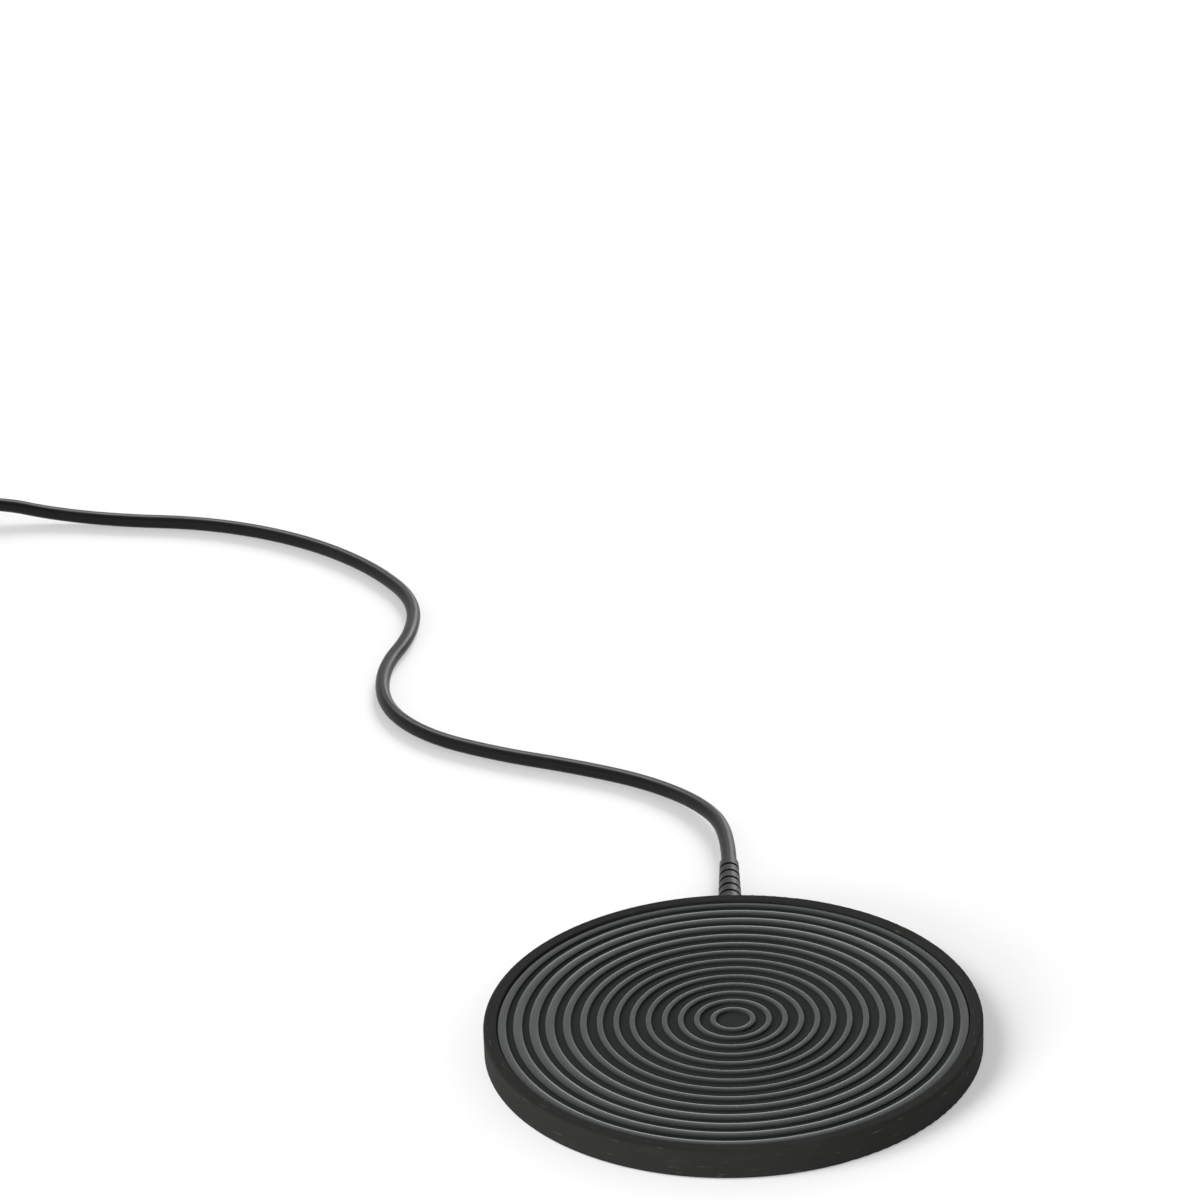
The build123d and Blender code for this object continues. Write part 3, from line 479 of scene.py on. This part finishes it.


# A few short pale marks that run round the wall.
def paleMarked(tree, place, base, finish):
    spot = addNode(tree, "ShaderNodeSeparateXYZ", {"Vector": place})
    front = addNode(tree, "ShaderNodeMath", {0: spot.outputs["Y"], 1: -1.0}, operation="MULTIPLY")
    turn = addNode(
        tree,
        "ShaderNodeMath",
        {0: spot.outputs["X"], 1: front.outputs[0]},
        operation="ARCTAN2",
    )
    arc = addNode(
        tree,
        "ShaderNodeMath",
        {0: turn.outputs[0], 1: finish["markArcs"]},
        operation="MULTIPLY",
    )
    flat = addNode(tree, "ShaderNodeVectorMath", {0: place, 1: (1.0, 1.0, 0.0)}, operation="MULTIPLY")
    radius = addNode(tree, "ShaderNodeVectorMath", {0: flat.outputs[0]}, operation="LENGTH")
    run = addNode(
        tree,
        "ShaderNodeMath",
        {0: spot.outputs["Z"], 1: radius.outputs["Value"]},
        operation="SUBTRACT",
    )
    level = addNode(
        tree,
        "ShaderNodeMath",
        {0: run.outputs[0], 1: 1 / (finish["markHighMm"] * mm)},
        operation="MULTIPLY",
    )
    wrapped = addNode(tree, "ShaderNodeCombineXYZ", {"X": arc.outputs[0], "Z": level.outputs[0]})
    marks = addNode(
        tree,
        "ShaderNodeTexNoise",
        {"Vector": wrapped.outputs[0], "Scale": 1.0, "Detail": 1.0, "Roughness": 0.5},
    )
    share = addNode(
        tree,
        "ShaderNodeMapRange",
        {
            "Value": marks.outputs[0],
            "From Min": finish["markFrom"],
            "From Max": finish["markFull"],
            "To Min": 0.0,
            "To Max": finish["markShare"],
        },
    )
    mixed = addNode(
        tree,
        "ShaderNodeMix",
        {0: share.outputs[0], 6: base, 7: colour(finish["markColour"])},
        data_type="RGBA",
    )
    return mixed.outputs[2]


skinWear = {
    "rubFrom": 0.56,  # noise level where a rub starts to show
    "rubFull": 0.76,
    "rubStretch": (1.0, 0.3, 2.6),
    "glossDrift": 0.05,
    "grainDepth": 0.15,  # share of the grain's width
}


# Injection-moulded plastic or rubber: a grained skin, a slow drift of tone, and pale rubs.
def mouldedSkin(finish):
    material, tree, place = startMaterial(finish["name"])
    grain = addNode(
        tree,
        "ShaderNodeTexNoise",
        {"Vector": place, "Scale": 1 / (finish["grainMm"] * mm), "Detail": 3.0, "Roughness": 0.6},
    )
    drift = addNode(
        tree,
        "ShaderNodeTexNoise",
        {"Vector": place, "Scale": 1 / (finish["driftMm"] * mm), "Detail": 3.0, "Roughness": 0.6},
    )
    tone = addNode(
        tree,
        "ShaderNodeMix",
        {0: drift.outputs[0], 6: colour(finish["dark"]), 7: colour(finish["light"])},
        data_type="RGBA",
    )
    streaks = addNode(tree, "ShaderNodeMapping", {"Vector": place, "Scale": skinWear["rubStretch"]})
    rubs = addNode(
        tree,
        "ShaderNodeTexNoise",
        {
            "Vector": streaks.outputs[0],
            "Scale": 1 / (finish["rubMm"] * mm),
            "Detail": 6.0,
            "Roughness": 0.7,
        },
    )
    worn = addNode(
        tree,
        "ShaderNodeMapRange",
        {
            "Value": rubs.outputs[0],
            "From Min": skinWear["rubFrom"],
            "From Max": skinWear["rubFull"],
            "To Min": 0.0,
            "To Max": finish["wear"],
        },
    )
    wornTone = addNode(
        tree,
        "ShaderNodeMix",
        {0: worn.outputs[0], 6: tone.outputs[2], 7: colour(finish["rub"])},
        data_type="RGBA",
    )
    base = wornTone.outputs[2]
    if "markColour" in finish:
        base = paleMarked(tree, place, base, finish)
    gloss = addNode(
        tree,
        "ShaderNodeMapRange",
        {
            **noiseBand,
            "Value": drift.outputs[0],
            "To Min": finish["roughness"] - skinWear["glossDrift"],
            "To Max": finish["roughness"] + skinWear["glossDrift"],
        },
    )
    depth = finish["grainMm"] * mm * skinWear["grainDepth"]
    skin = addNode(
        tree,
        "ShaderNodeBump",
        {"Height": grain.outputs[0], "Strength": finish["relief"], "Distance": depth},
    )
    closeMaterial(
        tree,
        {
            "Base Color": base,
            "Roughness": gloss.outputs[0],
            "IOR": finish["ior"],
            "Specular IOR Level": finish["specular"],
            "Normal": skin.outputs[0],
        },
    )
    return material


metalLines = {"glossDrift": 0.07, "depth": 0.1}  # the depth as a share of the lines' width


# Bare or plated metal, drawn, rolled or stamped: fine lines one way, a little tarnish.
def workedMetal(finish):
    material, tree, place = startMaterial(finish["name"])
    stretched = addNode(tree, "ShaderNodeMapping", {"Vector": place, "Scale": finish["stretch"]})
    lines = addNode(
        tree,
        "ShaderNodeTexNoise",
        {"Vector": stretched.outputs[0], "Scale": 1 / (finish["lineMm"] * mm), "Detail": 4.0},
    )
    patches = addNode(
        tree,
        "ShaderNodeTexNoise",
        {"Vector": place, "Scale": 1 / (finish["patchMm"] * mm), "Detail": 4.0},
    )
    tone = addNode(
        tree,
        "ShaderNodeMix",
        {0: patches.outputs[0], 6: colour(finish["dark"]), 7: colour(finish["light"])},
        data_type="RGBA",
    )
    gloss = addNode(
        tree,
        "ShaderNodeMapRange",
        {
            **noiseBand,
            "Value": lines.outputs[0],
            "To Min": finish["roughness"] - metalLines["glossDrift"],
            "To Max": finish["roughness"] + metalLines["glossDrift"],
        },
    )
    depth = finish["lineMm"] * mm * metalLines["depth"]
    skin = addNode(
        tree,
        "ShaderNodeBump",
        {"Height": lines.outputs[0], "Strength": finish["relief"], "Distance": depth},
    )
    closeMaterial(
        tree,
        {
            "Base Color": tone.outputs[2],
            "Metallic": 1.0,
            "Roughness": gloss.outputs[0],
            "Normal": skin.outputs[0],
        },
    )
    return material


def dress(material, *names):
    for name in names:
        piece = nodes[name] if name in nodes else bpy.data.objects[name]
        piece.data.materials.clear()
        piece.data.materials.append(material)


# Soft-touch ABS, moulded on a spark-eroded tool: a flat charcoal black with a soft sheen at a low angle.
housingFinish = {
    "name": "softTouchAbs",
    "dark": "#262625",
    "light": "#2b2b2a",
    "rub": "#484846",
    "grainMm": 0.35,  # real grain is 0.1, too fine to show
    "driftMm": 30,
    "rubMm": 9,
    "wear": 0.15,
    "relief": 0.25,
    "roughness": 0.75,
    "ior": 1.5,
    "specular": 0.03,
}
wallFinish = {
    **housingFinish,
    "markColour": "#73726c",
    "markArcs": 11.0,  # to a radian, so each is 5 mm long on this wall
    "markHighMm": 0.4,
    "markFrom": 0.68,  # noise level where a mark starts to show
    "markFull": 0.78,
    "markShare": 0.45,
}
dress(mouldedSkin(wallFinish), "housing_ring")

# ABS of the base, coarser spark texture: duller and greyer than the rim.
baseFinish = {
    **housingFinish,
    "name": "sparkTexturedAbs",
    "dark": "#1f1f1f",
    "light": "#292929",
    "grainMm": 0.5,  # real grain is 0.15, too fine to show
    "relief": 0.4,
    "roughness": 0.68,
}
dress(mouldedSkin(baseFinish), "base_cover")

# ABS of the switch and the plug's grip, fine spark texture: a dry satin black.
caseFinish = {
    **housingFinish,
    "name": "satinAbs",
    "dark": "#1f1f1f",
    "light": "#262626",
    "driftMm": 14,
    "rubMm": 5,
    "relief": 0.3,
    "roughness": 0.55,
    "specular": 0.2,
}
dress(mouldedSkin(caseFinish), "switch_case_lower", "switch_case_upper", "plug_grip")

# Polished ABS of the rocker: a clear reflection with finger rubs.
rockerFinish = {
    **caseFinish,
    "name": "polishedAbs",
    "dark": "#121212",
    "light": "#181818",
    "rub": "#3c3c3c",
    "relief": 0.05,
    "roughness": 0.22,
    "specular": 0.5,
}
dress(mouldedSkin(rockerFinish), "switch_rocker")

# Soft PVC, extruded: a satin black with a waxy highlight along the cord.
jacketFinish = {
    "name": "extrudedPvc",
    "dark": "#0f0f0f",
    "light": "#151515",
    "rub": "#40403e",
    "grainMm": 0.6,  # real dimples are 0.2, too fine to show
    "driftMm": 22,
    "rubMm": 12,
    "wear": 0.1,
    "relief": 0.12,
    "roughness": 0.36,
    "ior": 1.5,
    "specular": 0.15,
}
jacketPieces = ["supplyCord", "plugCord", "strain_relief", "cord_to_switch", "cord_to_coil"]
dress(mouldedSkin(jacketFinish), *jacketPieces)
dress(mouldedSkin({**jacketFinish, "name": "mouldedPvc"}), "cord_coil", "cord_to_plug")

# Black rubber feet, compression moulded: dull, with dust caught in the skin.
footFinish = {
    "name": "mouldedRubber",
    "dark": "#161616",
    "light": "#1e1d1c",
    "rub": "#5b5752",
    "grainMm": 0.4,  # real skin is 0.1, too fine to show
    "driftMm": 6,
    "rubMm": 3,
    "wear": 0.35,
    "relief": 0.35,
    "roughness": 0.8,
    "ior": 1.52,
    "specular": 0.3,
}
dress(mouldedSkin(footFinish), "rubber_feet")

# Silicone seal, moulded: nearly black with a greasy soft light.
dress(mouldedSkin({**footFinish, "name": "siliconeSeal", "wear": 0.05, "roughness": 0.6}), "plate_gasket")

# Epoxy of the chips, transfer moulded: charcoal, even and dry.
epoxyFinish = {**footFinish, "name": "mouldedEpoxy", "dark": "#151517", "light": "#1c1c1e", "wear": 0.08}
dress(mouldedSkin({**epoxyFinish, "grainMm": 0.15, "driftMm": 2}), "controller_chip", "power_transistor")

# Epoxy-dipped bead: shiny black drop.
beadFinish = {**epoxyFinish, "name": "dippedEpoxy", "relief": 0.05, "roughness": 0.18, "specular": 0.5}
dress(mouldedSkin(beadFinish), "temperature_sensor")

# Fired ceramic of the capacitors: warm tan, fine and dry.
ceramicFinish = {
    **footFinish,
    "name": "firedCeramic",
    "dark": "#94795a",
    "light": "#a98c68",
    "rub": "#c9b79c",
    "grainMm": 0.2,
    "driftMm": 1,
    "wear": 0.15,
    "roughness": 0.55,
    "ior": 1.6,
}
dress(mouldedSkin(ceramicFinish), "board_capacitors")

# Insulated wires, extruded: bright, smooth and a little waxy.
wireFinish = {
    **jacketFinish,
    "grainMm": 0.3,  # real dimples are 0.1, too fine to show
    "driftMm": 4,
    "rubMm": 3,
    "roughness": 0.35,
}
wires = {
    "redWire": ("#a81a16", "#b9221c", "#cf6a60", ["supply_wire_positive", "switch_positive_wires"]),
    "blackWire": ("#161616", "#1e1e1e", "#444444", ["supply_wire_negative", "switch_negative_wire"]),
    "yellowWire": ("#c9a92e", "#d8b93a", "#e8d68a", ["sensor_leads"]),
    "whiteSleeve": ("#d6d4cc", "#e4e2db", "#f2f1ec", ["fuse_leads", "heater_leads"]),
}
for name, (dark, light, rub, wired) in wires.items():
    dress(mouldedSkin({**wireFinish, "name": name, "dark": dark, "light": light, "rub": rub}), *wired)

# Insulator of the plug, moulded white nylon: clean, with a soft bright reflection.
tongueFinish = {
    **wireFinish,
    "name": "whiteNylon",
    "dark": "#d8d7d0",
    "light": "#e6e5df",
    "rub": "#f4f3ee",
    "roughness": 0.3,
}
dress(mouldedSkin(tongueFinish), "plug_tongue")

# Zinc-plated steel screws: cool grey with a soft, slightly yellow bloom.
screwFinish = {
    "name": "zincPlatedSteel",
    "dark": "#8f9090",
    "light": "#b4b5b2",
    "stretch": (1.0, 1.0, 0.25),
    "relief": 0.25,
    "lineMm": 0.15,  # real lines are 0.05, too fine to show
    "patchMm": 1.5,
    "roughness": 0.38,
}
screwNodes = ["retainer_screws", "plate_screws", "base_screws", "board_screws", "switch_screws"]
dress(workedMetal(screwFinish), *screwNodes)

# Cold-rolled steel sheet: long fine lines from the rolls.
sheetFinish = {
    **screwFinish,
    "name": "rolledSteel",
    "stretch": (0.08, 1.0, 1.0),
    "patchMm": 9,
    "roughness": 0.34,
}
dress(workedMetal(sheetFinish), "retainer_plate")

# Nickel-plated steel of the plug's shell: brighter, with drawing lines along it.
shellFinish = {
    **screwFinish,
    "name": "nickelPlatedSteel",
    "dark": "#b9b8b3",
    "light": "#cfcec8",
    "stretch": (1.0, 0.06, 1.0),
    "relief": 0.04,
    "lineMm": 0.4,  # real lines are 0.05, too fine to show
    "roughness": 0.24,
}
dress(workedMetal(shellFinish), "plug_shell")
springFinish = {**shellFinish, "name": "springWire", "dark": "#a3a3a2", "light": "#bdbdbb"}
dress(workedMetal(springFinish), "plunger_spring")
dress(workedMetal({**shellFinish, "name": "drawnAluminium", "roughness": 0.3}), "thermal_fuse")

# Brass, stamped: warm yellow with browner patches where it has aged.
brassFinish = {
    **screwFinish,
    "name": "stampedBrass",
    "dark": "#a88647",
    "light": "#cfae67",
    "stretch": (0.2, 1.0, 1.0),
    "patchMm": 2.5,
    "roughness": 0.3,
}
dress(workedMetal(brassFinish), "switch_plunger", "contact_lever", "pivot_terminal", "contact_terminal")
goldFinish = {**brassFinish, "name": "goldFlash", "dark": "#d2a94f", "light": "#e6c26a", "roughness": 0.22}
dress(workedMetal(goldFinish), "plug_contacts")

# Die-cast aluminium under a satin non-stick coat: near-black ribs that shine pale at a low angle.
ribFinish = {
    "name": "satinNonStick",
    "dark": "#1b2121",
    "light": "#212828",
    "peelMm": 0.6,
    "peelDepthMm": 0.03,
    "relief": 0.2,
    "driftMm": 18,
    "glossDrift": 0.04,
    "roughness": 0.22,
    "ior": 1.8,
    "specular": 0.5,
}
# The same coat where the spray lies thin and dry in the grooves: near-black and matt.
grooveFinish = {
    **ribFinish,
    "name": "dryNonStick",
    "dark": "#292b2a",
    "light": "#2f3130",
    "roughness": 0.8,
    "specular": 0.03,
}
dryDepth = 0.45  # the dry coat stops this far below the crests


def nonStickCoat(finish):
    material, tree, place = startMaterial(finish["name"])
    drift = addNode(
        tree,
        "ShaderNodeTexNoise",
        {"Vector": place, "Scale": 1 / (finish["driftMm"] * mm), "Detail": 4.0, "Roughness": 0.6},
    )
    peel = addNode(
        tree,
        "ShaderNodeTexNoise",
        {"Vector": place, "Scale": 1 / (finish["peelMm"] * mm), "Detail": 2.0},
    )
    tone = addNode(
        tree,
        "ShaderNodeMix",
        {0: drift.outputs[0], 6: colour(finish["dark"]), 7: colour(finish["light"])},
        data_type="RGBA",
    )
    gloss = addNode(
        tree,
        "ShaderNodeMapRange",
        {
            **noiseBand,
            "Value": drift.outputs[0],
            "To Min": finish["roughness"] - finish["glossDrift"],
            "To Max": finish["roughness"] + finish["glossDrift"],
        },
    )
    skin = addNode(
        tree,
        "ShaderNodeBump",
        {"Height": peel.outputs[0], "Strength": finish["relief"], "Distance": finish["peelDepthMm"] * mm},
    )
    closeMaterial(
        tree,
        {
            "Base Color": tone.outputs[2],
            "Roughness": gloss.outputs[0],
            "IOR": finish["ior"],
            "Specular IOR Level": finish["specular"],
            "Normal": skin.outputs[0],
        },
    )
    return material


satinCoat, dryCoat = nonStickCoat(ribFinish), nonStickCoat(grooveFinish)
dryBelow = (plate["crest"] - dryDepth) * mm
for piece in (nodes["warming_plate"], bpy.data.objects["ribbedPlate"]):
    dress(satinCoat, piece.name)
    piece.data.materials.append(dryCoat)
    for polygon in piece.data.polygons:
        polygon.material_index = 1 if polygon.center.z < dryBelow else 0

# Hook-and-loop strap, woven nylon: threads cross at a fine pitch under a dull fuzz.
strapFinish = {
    "name": "wovenNylon",
    "dark": "#101010",
    "light": "#2c2c2c",
    "threadMm": 0.55,
    "unevenness": 0.6,
    "relief": 0.7,
    "reliefMm": 0.08,
    "roughness": 0.85,
    "specular": 0.25,
    "fuzz": 0.2,
}


def wovenNylon(finish):
    material, tree, _ = startMaterial(finish["name"])
    strap = addNode(tree, "ShaderNodeTexCoord").outputs["UV"]
    scale = pi / (10 * finish["threadMm"] * 2 * mm)  # a wave of pi / 10 holds a thread over and one under
    threads = {"Vector": strap, "Scale": scale, "Distortion": finish["unevenness"], "Detail": 1.0}
    weft = addNode(tree, "ShaderNodeTexWave", threads, bands_direction="X")
    warp = addNode(tree, "ShaderNodeTexWave", threads, bands_direction="Y")
    weave = addNode(
        tree,
        "ShaderNodeMath",
        {0: weft.outputs["Fac"], 1: warp.outputs["Fac"]},
        operation="MULTIPLY",
    )
    tone = addNode(
        tree,
        "ShaderNodeMix",
        {0: weave.outputs[0], 6: colour(finish["dark"]), 7: colour(finish["light"])},
        data_type="RGBA",
    )
    skin = addNode(
        tree,
        "ShaderNodeBump",
        {"Height": weave.outputs[0], "Strength": finish["relief"], "Distance": finish["reliefMm"] * mm},
    )
    closeMaterial(
        tree,
        {
            "Base Color": tone.outputs[2],
            "Roughness": finish["roughness"],
            "Specular IOR Level": finish["specular"],
            "Sheen Weight": finish["fuzz"],
            "Normal": skin.outputs[0],
        },
    )
    return material


dress(wovenNylon(strapFinish), "tieStrap", "cord_tie")

# Needled glass fibre pad: matted pale threads.
padFinish = {
    "name": "needledFibre",
    "dark": "#b9b4a4",
    "light": "#e8e5da",
    "threadMm": 0.8,
    "tangle": 2.0,
    "relief": 0.8,
    "reliefMm": 0.2,
    "roughness": 0.95,
}


def needledFibre(finish):
    material, tree, place = startMaterial(finish["name"])
    matted = addNode(
        tree,
        "ShaderNodeTexNoise",
        {
            "Vector": place,
            "Scale": 1 / (finish["threadMm"] * mm),
            "Detail": 8.0,
            "Roughness": 0.75,
            "Distortion": finish["tangle"],
        },
    )
    tone = addNode(
        tree,
        "ShaderNodeMix",
        {0: matted.outputs[0], 6: colour(finish["dark"]), 7: colour(finish["light"])},
        data_type="RGBA",
    )
    skin = addNode(
        tree,
        "ShaderNodeBump",
        {"Height": matted.outputs[0], "Strength": finish["relief"], "Distance": finish["reliefMm"] * mm},
    )
    closeMaterial(
        tree,
        {"Base Color": tone.outputs[2], "Roughness": finish["roughness"], "Normal": skin.outputs[0]},
    )
    return material


dress(needledFibre(padFinish), "insulation_pad")

# Etched foil between two amber polyimide films: rings of track under a gloss skin.
filmFinish = {
    "name": "polyimideFilm",
    "film": "#b4661a",
    "track": "#7d4a1c",
    "trackPitchMm": 2.4,
    "trackEdge": (0.35, 0.45),  # wave levels between which film turns to track
    "relief": 0.3,
    "reliefMm": 0.02,
    "roughness": 0.25,
    "ior": 1.7,
}


def polyimideFilm(finish):
    material, tree, place = startMaterial(finish["name"])
    scale = pi / (10 * finish["trackPitchMm"] * mm)  # a wave is pi / 10 long at a scale of 1
    low, high = finish["trackEdge"]
    tracks = addNode(
        tree,
        "ShaderNodeTexWave",
        {"Vector": place, "Scale": scale},
        wave_type="RINGS",
        rings_direction="Z",
    )
    cut = addNode(
        tree,
        "ShaderNodeMapRange",
        {"Value": tracks.outputs["Fac"], "From Min": low, "From Max": high},
    )
    tone = addNode(
        tree,
        "ShaderNodeMix",
        {0: cut.outputs[0], 6: colour(finish["film"]), 7: colour(finish["track"])},
        data_type="RGBA",
    )
    skin = addNode(
        tree,
        "ShaderNodeBump",
        {"Height": cut.outputs[0], "Strength": finish["relief"], "Distance": finish["reliefMm"] * mm},
    )
    closeMaterial(
        tree,
        {
            "Base Color": tone.outputs[2],
            "Roughness": finish["roughness"],
            "IOR": finish["ior"],
            "Normal": skin.outputs[0],
        },
    )
    return material


dress(polyimideFilm(filmFinish), "heating_film")

# Glass-epoxy board under green solder mask: darker bare board between paler copper runs.
boardFinish = {
    "name": "solderMask",
    "mask": "#0f4a2b",
    "copper": "#1d6b3d",
    "runMm": 2.2,
    "runEdge": (0.06, 0.1),  # distances from a gap's middle between which board turns to copper
    "irregularity": 0.6,
    "relief": 0.3,
    "reliefMm": 0.03,
    "roughness": 0.32,
    "ior": 1.55,
}


def solderMask(finish):
    material, tree, place = startMaterial(finish["name"])
    low, high = finish["runEdge"]
    runs = addNode(
        tree,
        "ShaderNodeTexVoronoi",
        {"Vector": place, "Scale": 1 / (finish["runMm"] * mm), "Randomness": finish["irregularity"]},
        feature="DISTANCE_TO_EDGE",
        distance="CHEBYCHEV",
    )
    edge = addNode(
        tree,
        "ShaderNodeMapRange",
        {"Value": runs.outputs["Distance"], "From Min": low, "From Max": high},
    )
    tone = addNode(
        tree,
        "ShaderNodeMix",
        {0: edge.outputs[0], 6: colour(finish["mask"]), 7: colour(finish["copper"])},
        data_type="RGBA",
    )
    skin = addNode(
        tree,
        "ShaderNodeBump",
        {"Height": edge.outputs[0], "Strength": finish["relief"], "Distance": finish["reliefMm"] * mm},
    )
    closeMaterial(
        tree,
        {
            "Base Color": tone.outputs[2],
            "Roughness": finish["roughness"],
            "IOR": finish["ior"],
            "Normal": skin.outputs[0],
        },
    )
    return material


dress(solderMask(boardFinish), "control_board")
dressed = [piece for piece in nodes.values() if piece.data.materials and piece.data.materials[0].use_nodes]
print("materials on", len(dressed), "of", len(nodes), "nodes")

# A white paper floor under a sky that is bright at the horizon and dark overhead.
stage = {
    "floorSize": 12,
    "floorWhite": "#f0f0f0",
    "skyLow": 1.2,  # at the horizon
    "skyHigh": 0.05,  # overhead
}


def makeFloor():
    half = stage["floorSize"] / 2
    corners = [(-half, -half, 0), (half, -half, 0), (half, half, 0), (-half, half, 0)]
    mesh = bpy.data.meshes.new("floor")
    mesh.from_pydata(corners, [], [(0, 1, 2, 3)])
    floor = bpy.data.objects.new("floor", mesh)
    bpy.context.collection.objects.link(floor)
    material, tree, _ = startMaterial("paper")
    paper = addNode(tree, "ShaderNodeBsdfDiffuse", {"Color": colour(stage["floorWhite"])})
    addNode(tree, "ShaderNodeOutputMaterial", {"Surface": paper.outputs[0]})
    mesh.materials.append(material)


def makeSky():
    world = bpy.data.worlds.new("studio")
    world.use_nodes = True
    tree = world.node_tree
    tree.nodes.clear()
    direction = addNode(tree, "ShaderNodeTexCoord").outputs["Generated"]
    height = addNode(tree, "ShaderNodeSeparateXYZ", {"Vector": direction})
    strength = addNode(
        tree,
        "ShaderNodeMapRange",
        {"Value": height.outputs["Z"], "To Min": stage["skyLow"], "To Max": stage["skyHigh"]},
    )
    sky = addNode(tree, "ShaderNodeBackground", {"Color": (1, 1, 1, 1), "Strength": strength.outputs[0]})
    addNode(tree, "ShaderNodeOutputWorld", {"Surface": sky.outputs[0]})
    bpy.context.scene.world = world


# Wide distant lamps, angles in degrees. The disc shades the key and the front lamp, and the cords with
# what hangs on them shade the rear one. The sheens show only as reflections in those cords and pieces,
# and the glow only in the disc, as if flags stood between.
lamps = {
    "key": {"azimuth": 195, "elevation": 45, "spread": 34, "strength": 1.4, "shade": "disc"},
    "front": {"azimuth": 222, "elevation": 12, "spread": 24, "strength": 1.9, "shade": "disc"},
    "rear": {"azimuth": 76, "elevation": 28, "spread": 24, "strength": 2.2, "shade": "cords"},
    "sideSheen": {"azimuth": 48, "elevation": 22, "spread": 26, "strength": 1.5, "lit": "cords"},
    "rearSheen": {"azimuth": 72, "elevation": 18, "spread": 22, "strength": 0.48, "lit": "cords"},
    "backSheen": {"azimuth": 102, "elevation": 54, "spread": 30, "strength": 3.2, "lit": "cords"},
    "ribGlow": {"azimuth": 90, "elevation": 8, "spread": 26, "strength": 0.18, "lit": "disc"},
}


def makeLamp(name, lamp):
    data = bpy.data.lights.new(name, "SUN")
    data.angle = radians(lamp["spread"])
    data.energy = lamp["strength"]
    holder = bpy.data.objects.new(name, data)
    bpy.context.collection.objects.link(holder)
    azimuth, elevation = radians(lamp["azimuth"]), radians(lamp["elevation"])
    towards = Vector((cos(elevation) * cos(azimuth), cos(elevation) * sin(azimuth), sin(elevation)))
    holder.location = towards
    holder.rotation_mode = "QUATERNION"
    holder.rotation_quaternion = towards.to_track_quat("Z", "Y")
    if "shade" in lamp:
        holder.light_linking.blocker_collection = gathered[lamp["shade"]]
    if "lit" in lamp:
        holder.light_linking.receiver_collection = gathered[lamp["lit"]]
    holder.visible_glossy = "lit" in lamp
    holder.visible_diffuse = "lit" not in lamp


gathered = {name: bpy.data.collections.new(name) for name in ("disc", "cords")}
hanging = ["strain_relief", *switchPieces, *plugPieces]
for piece in (supplyCord, plugCord, tieStrap, *[nodes[name] for name in hanging]):
    gathered["cords"].objects.link(piece)
for piece in (nodes["housing_ring"], nodes["base_cover"], bpy.data.objects["ribbedPlate"]):
    gathered["disc"].objects.link(piece)
makeFloor()
makeSky()
for name, lamp in lamps.items():
    makeLamp(name, lamp)
bpy.context.scene.view_settings.view_transform = "Standard"
print("floor and light placed")

bpy.context.view_layer.update()
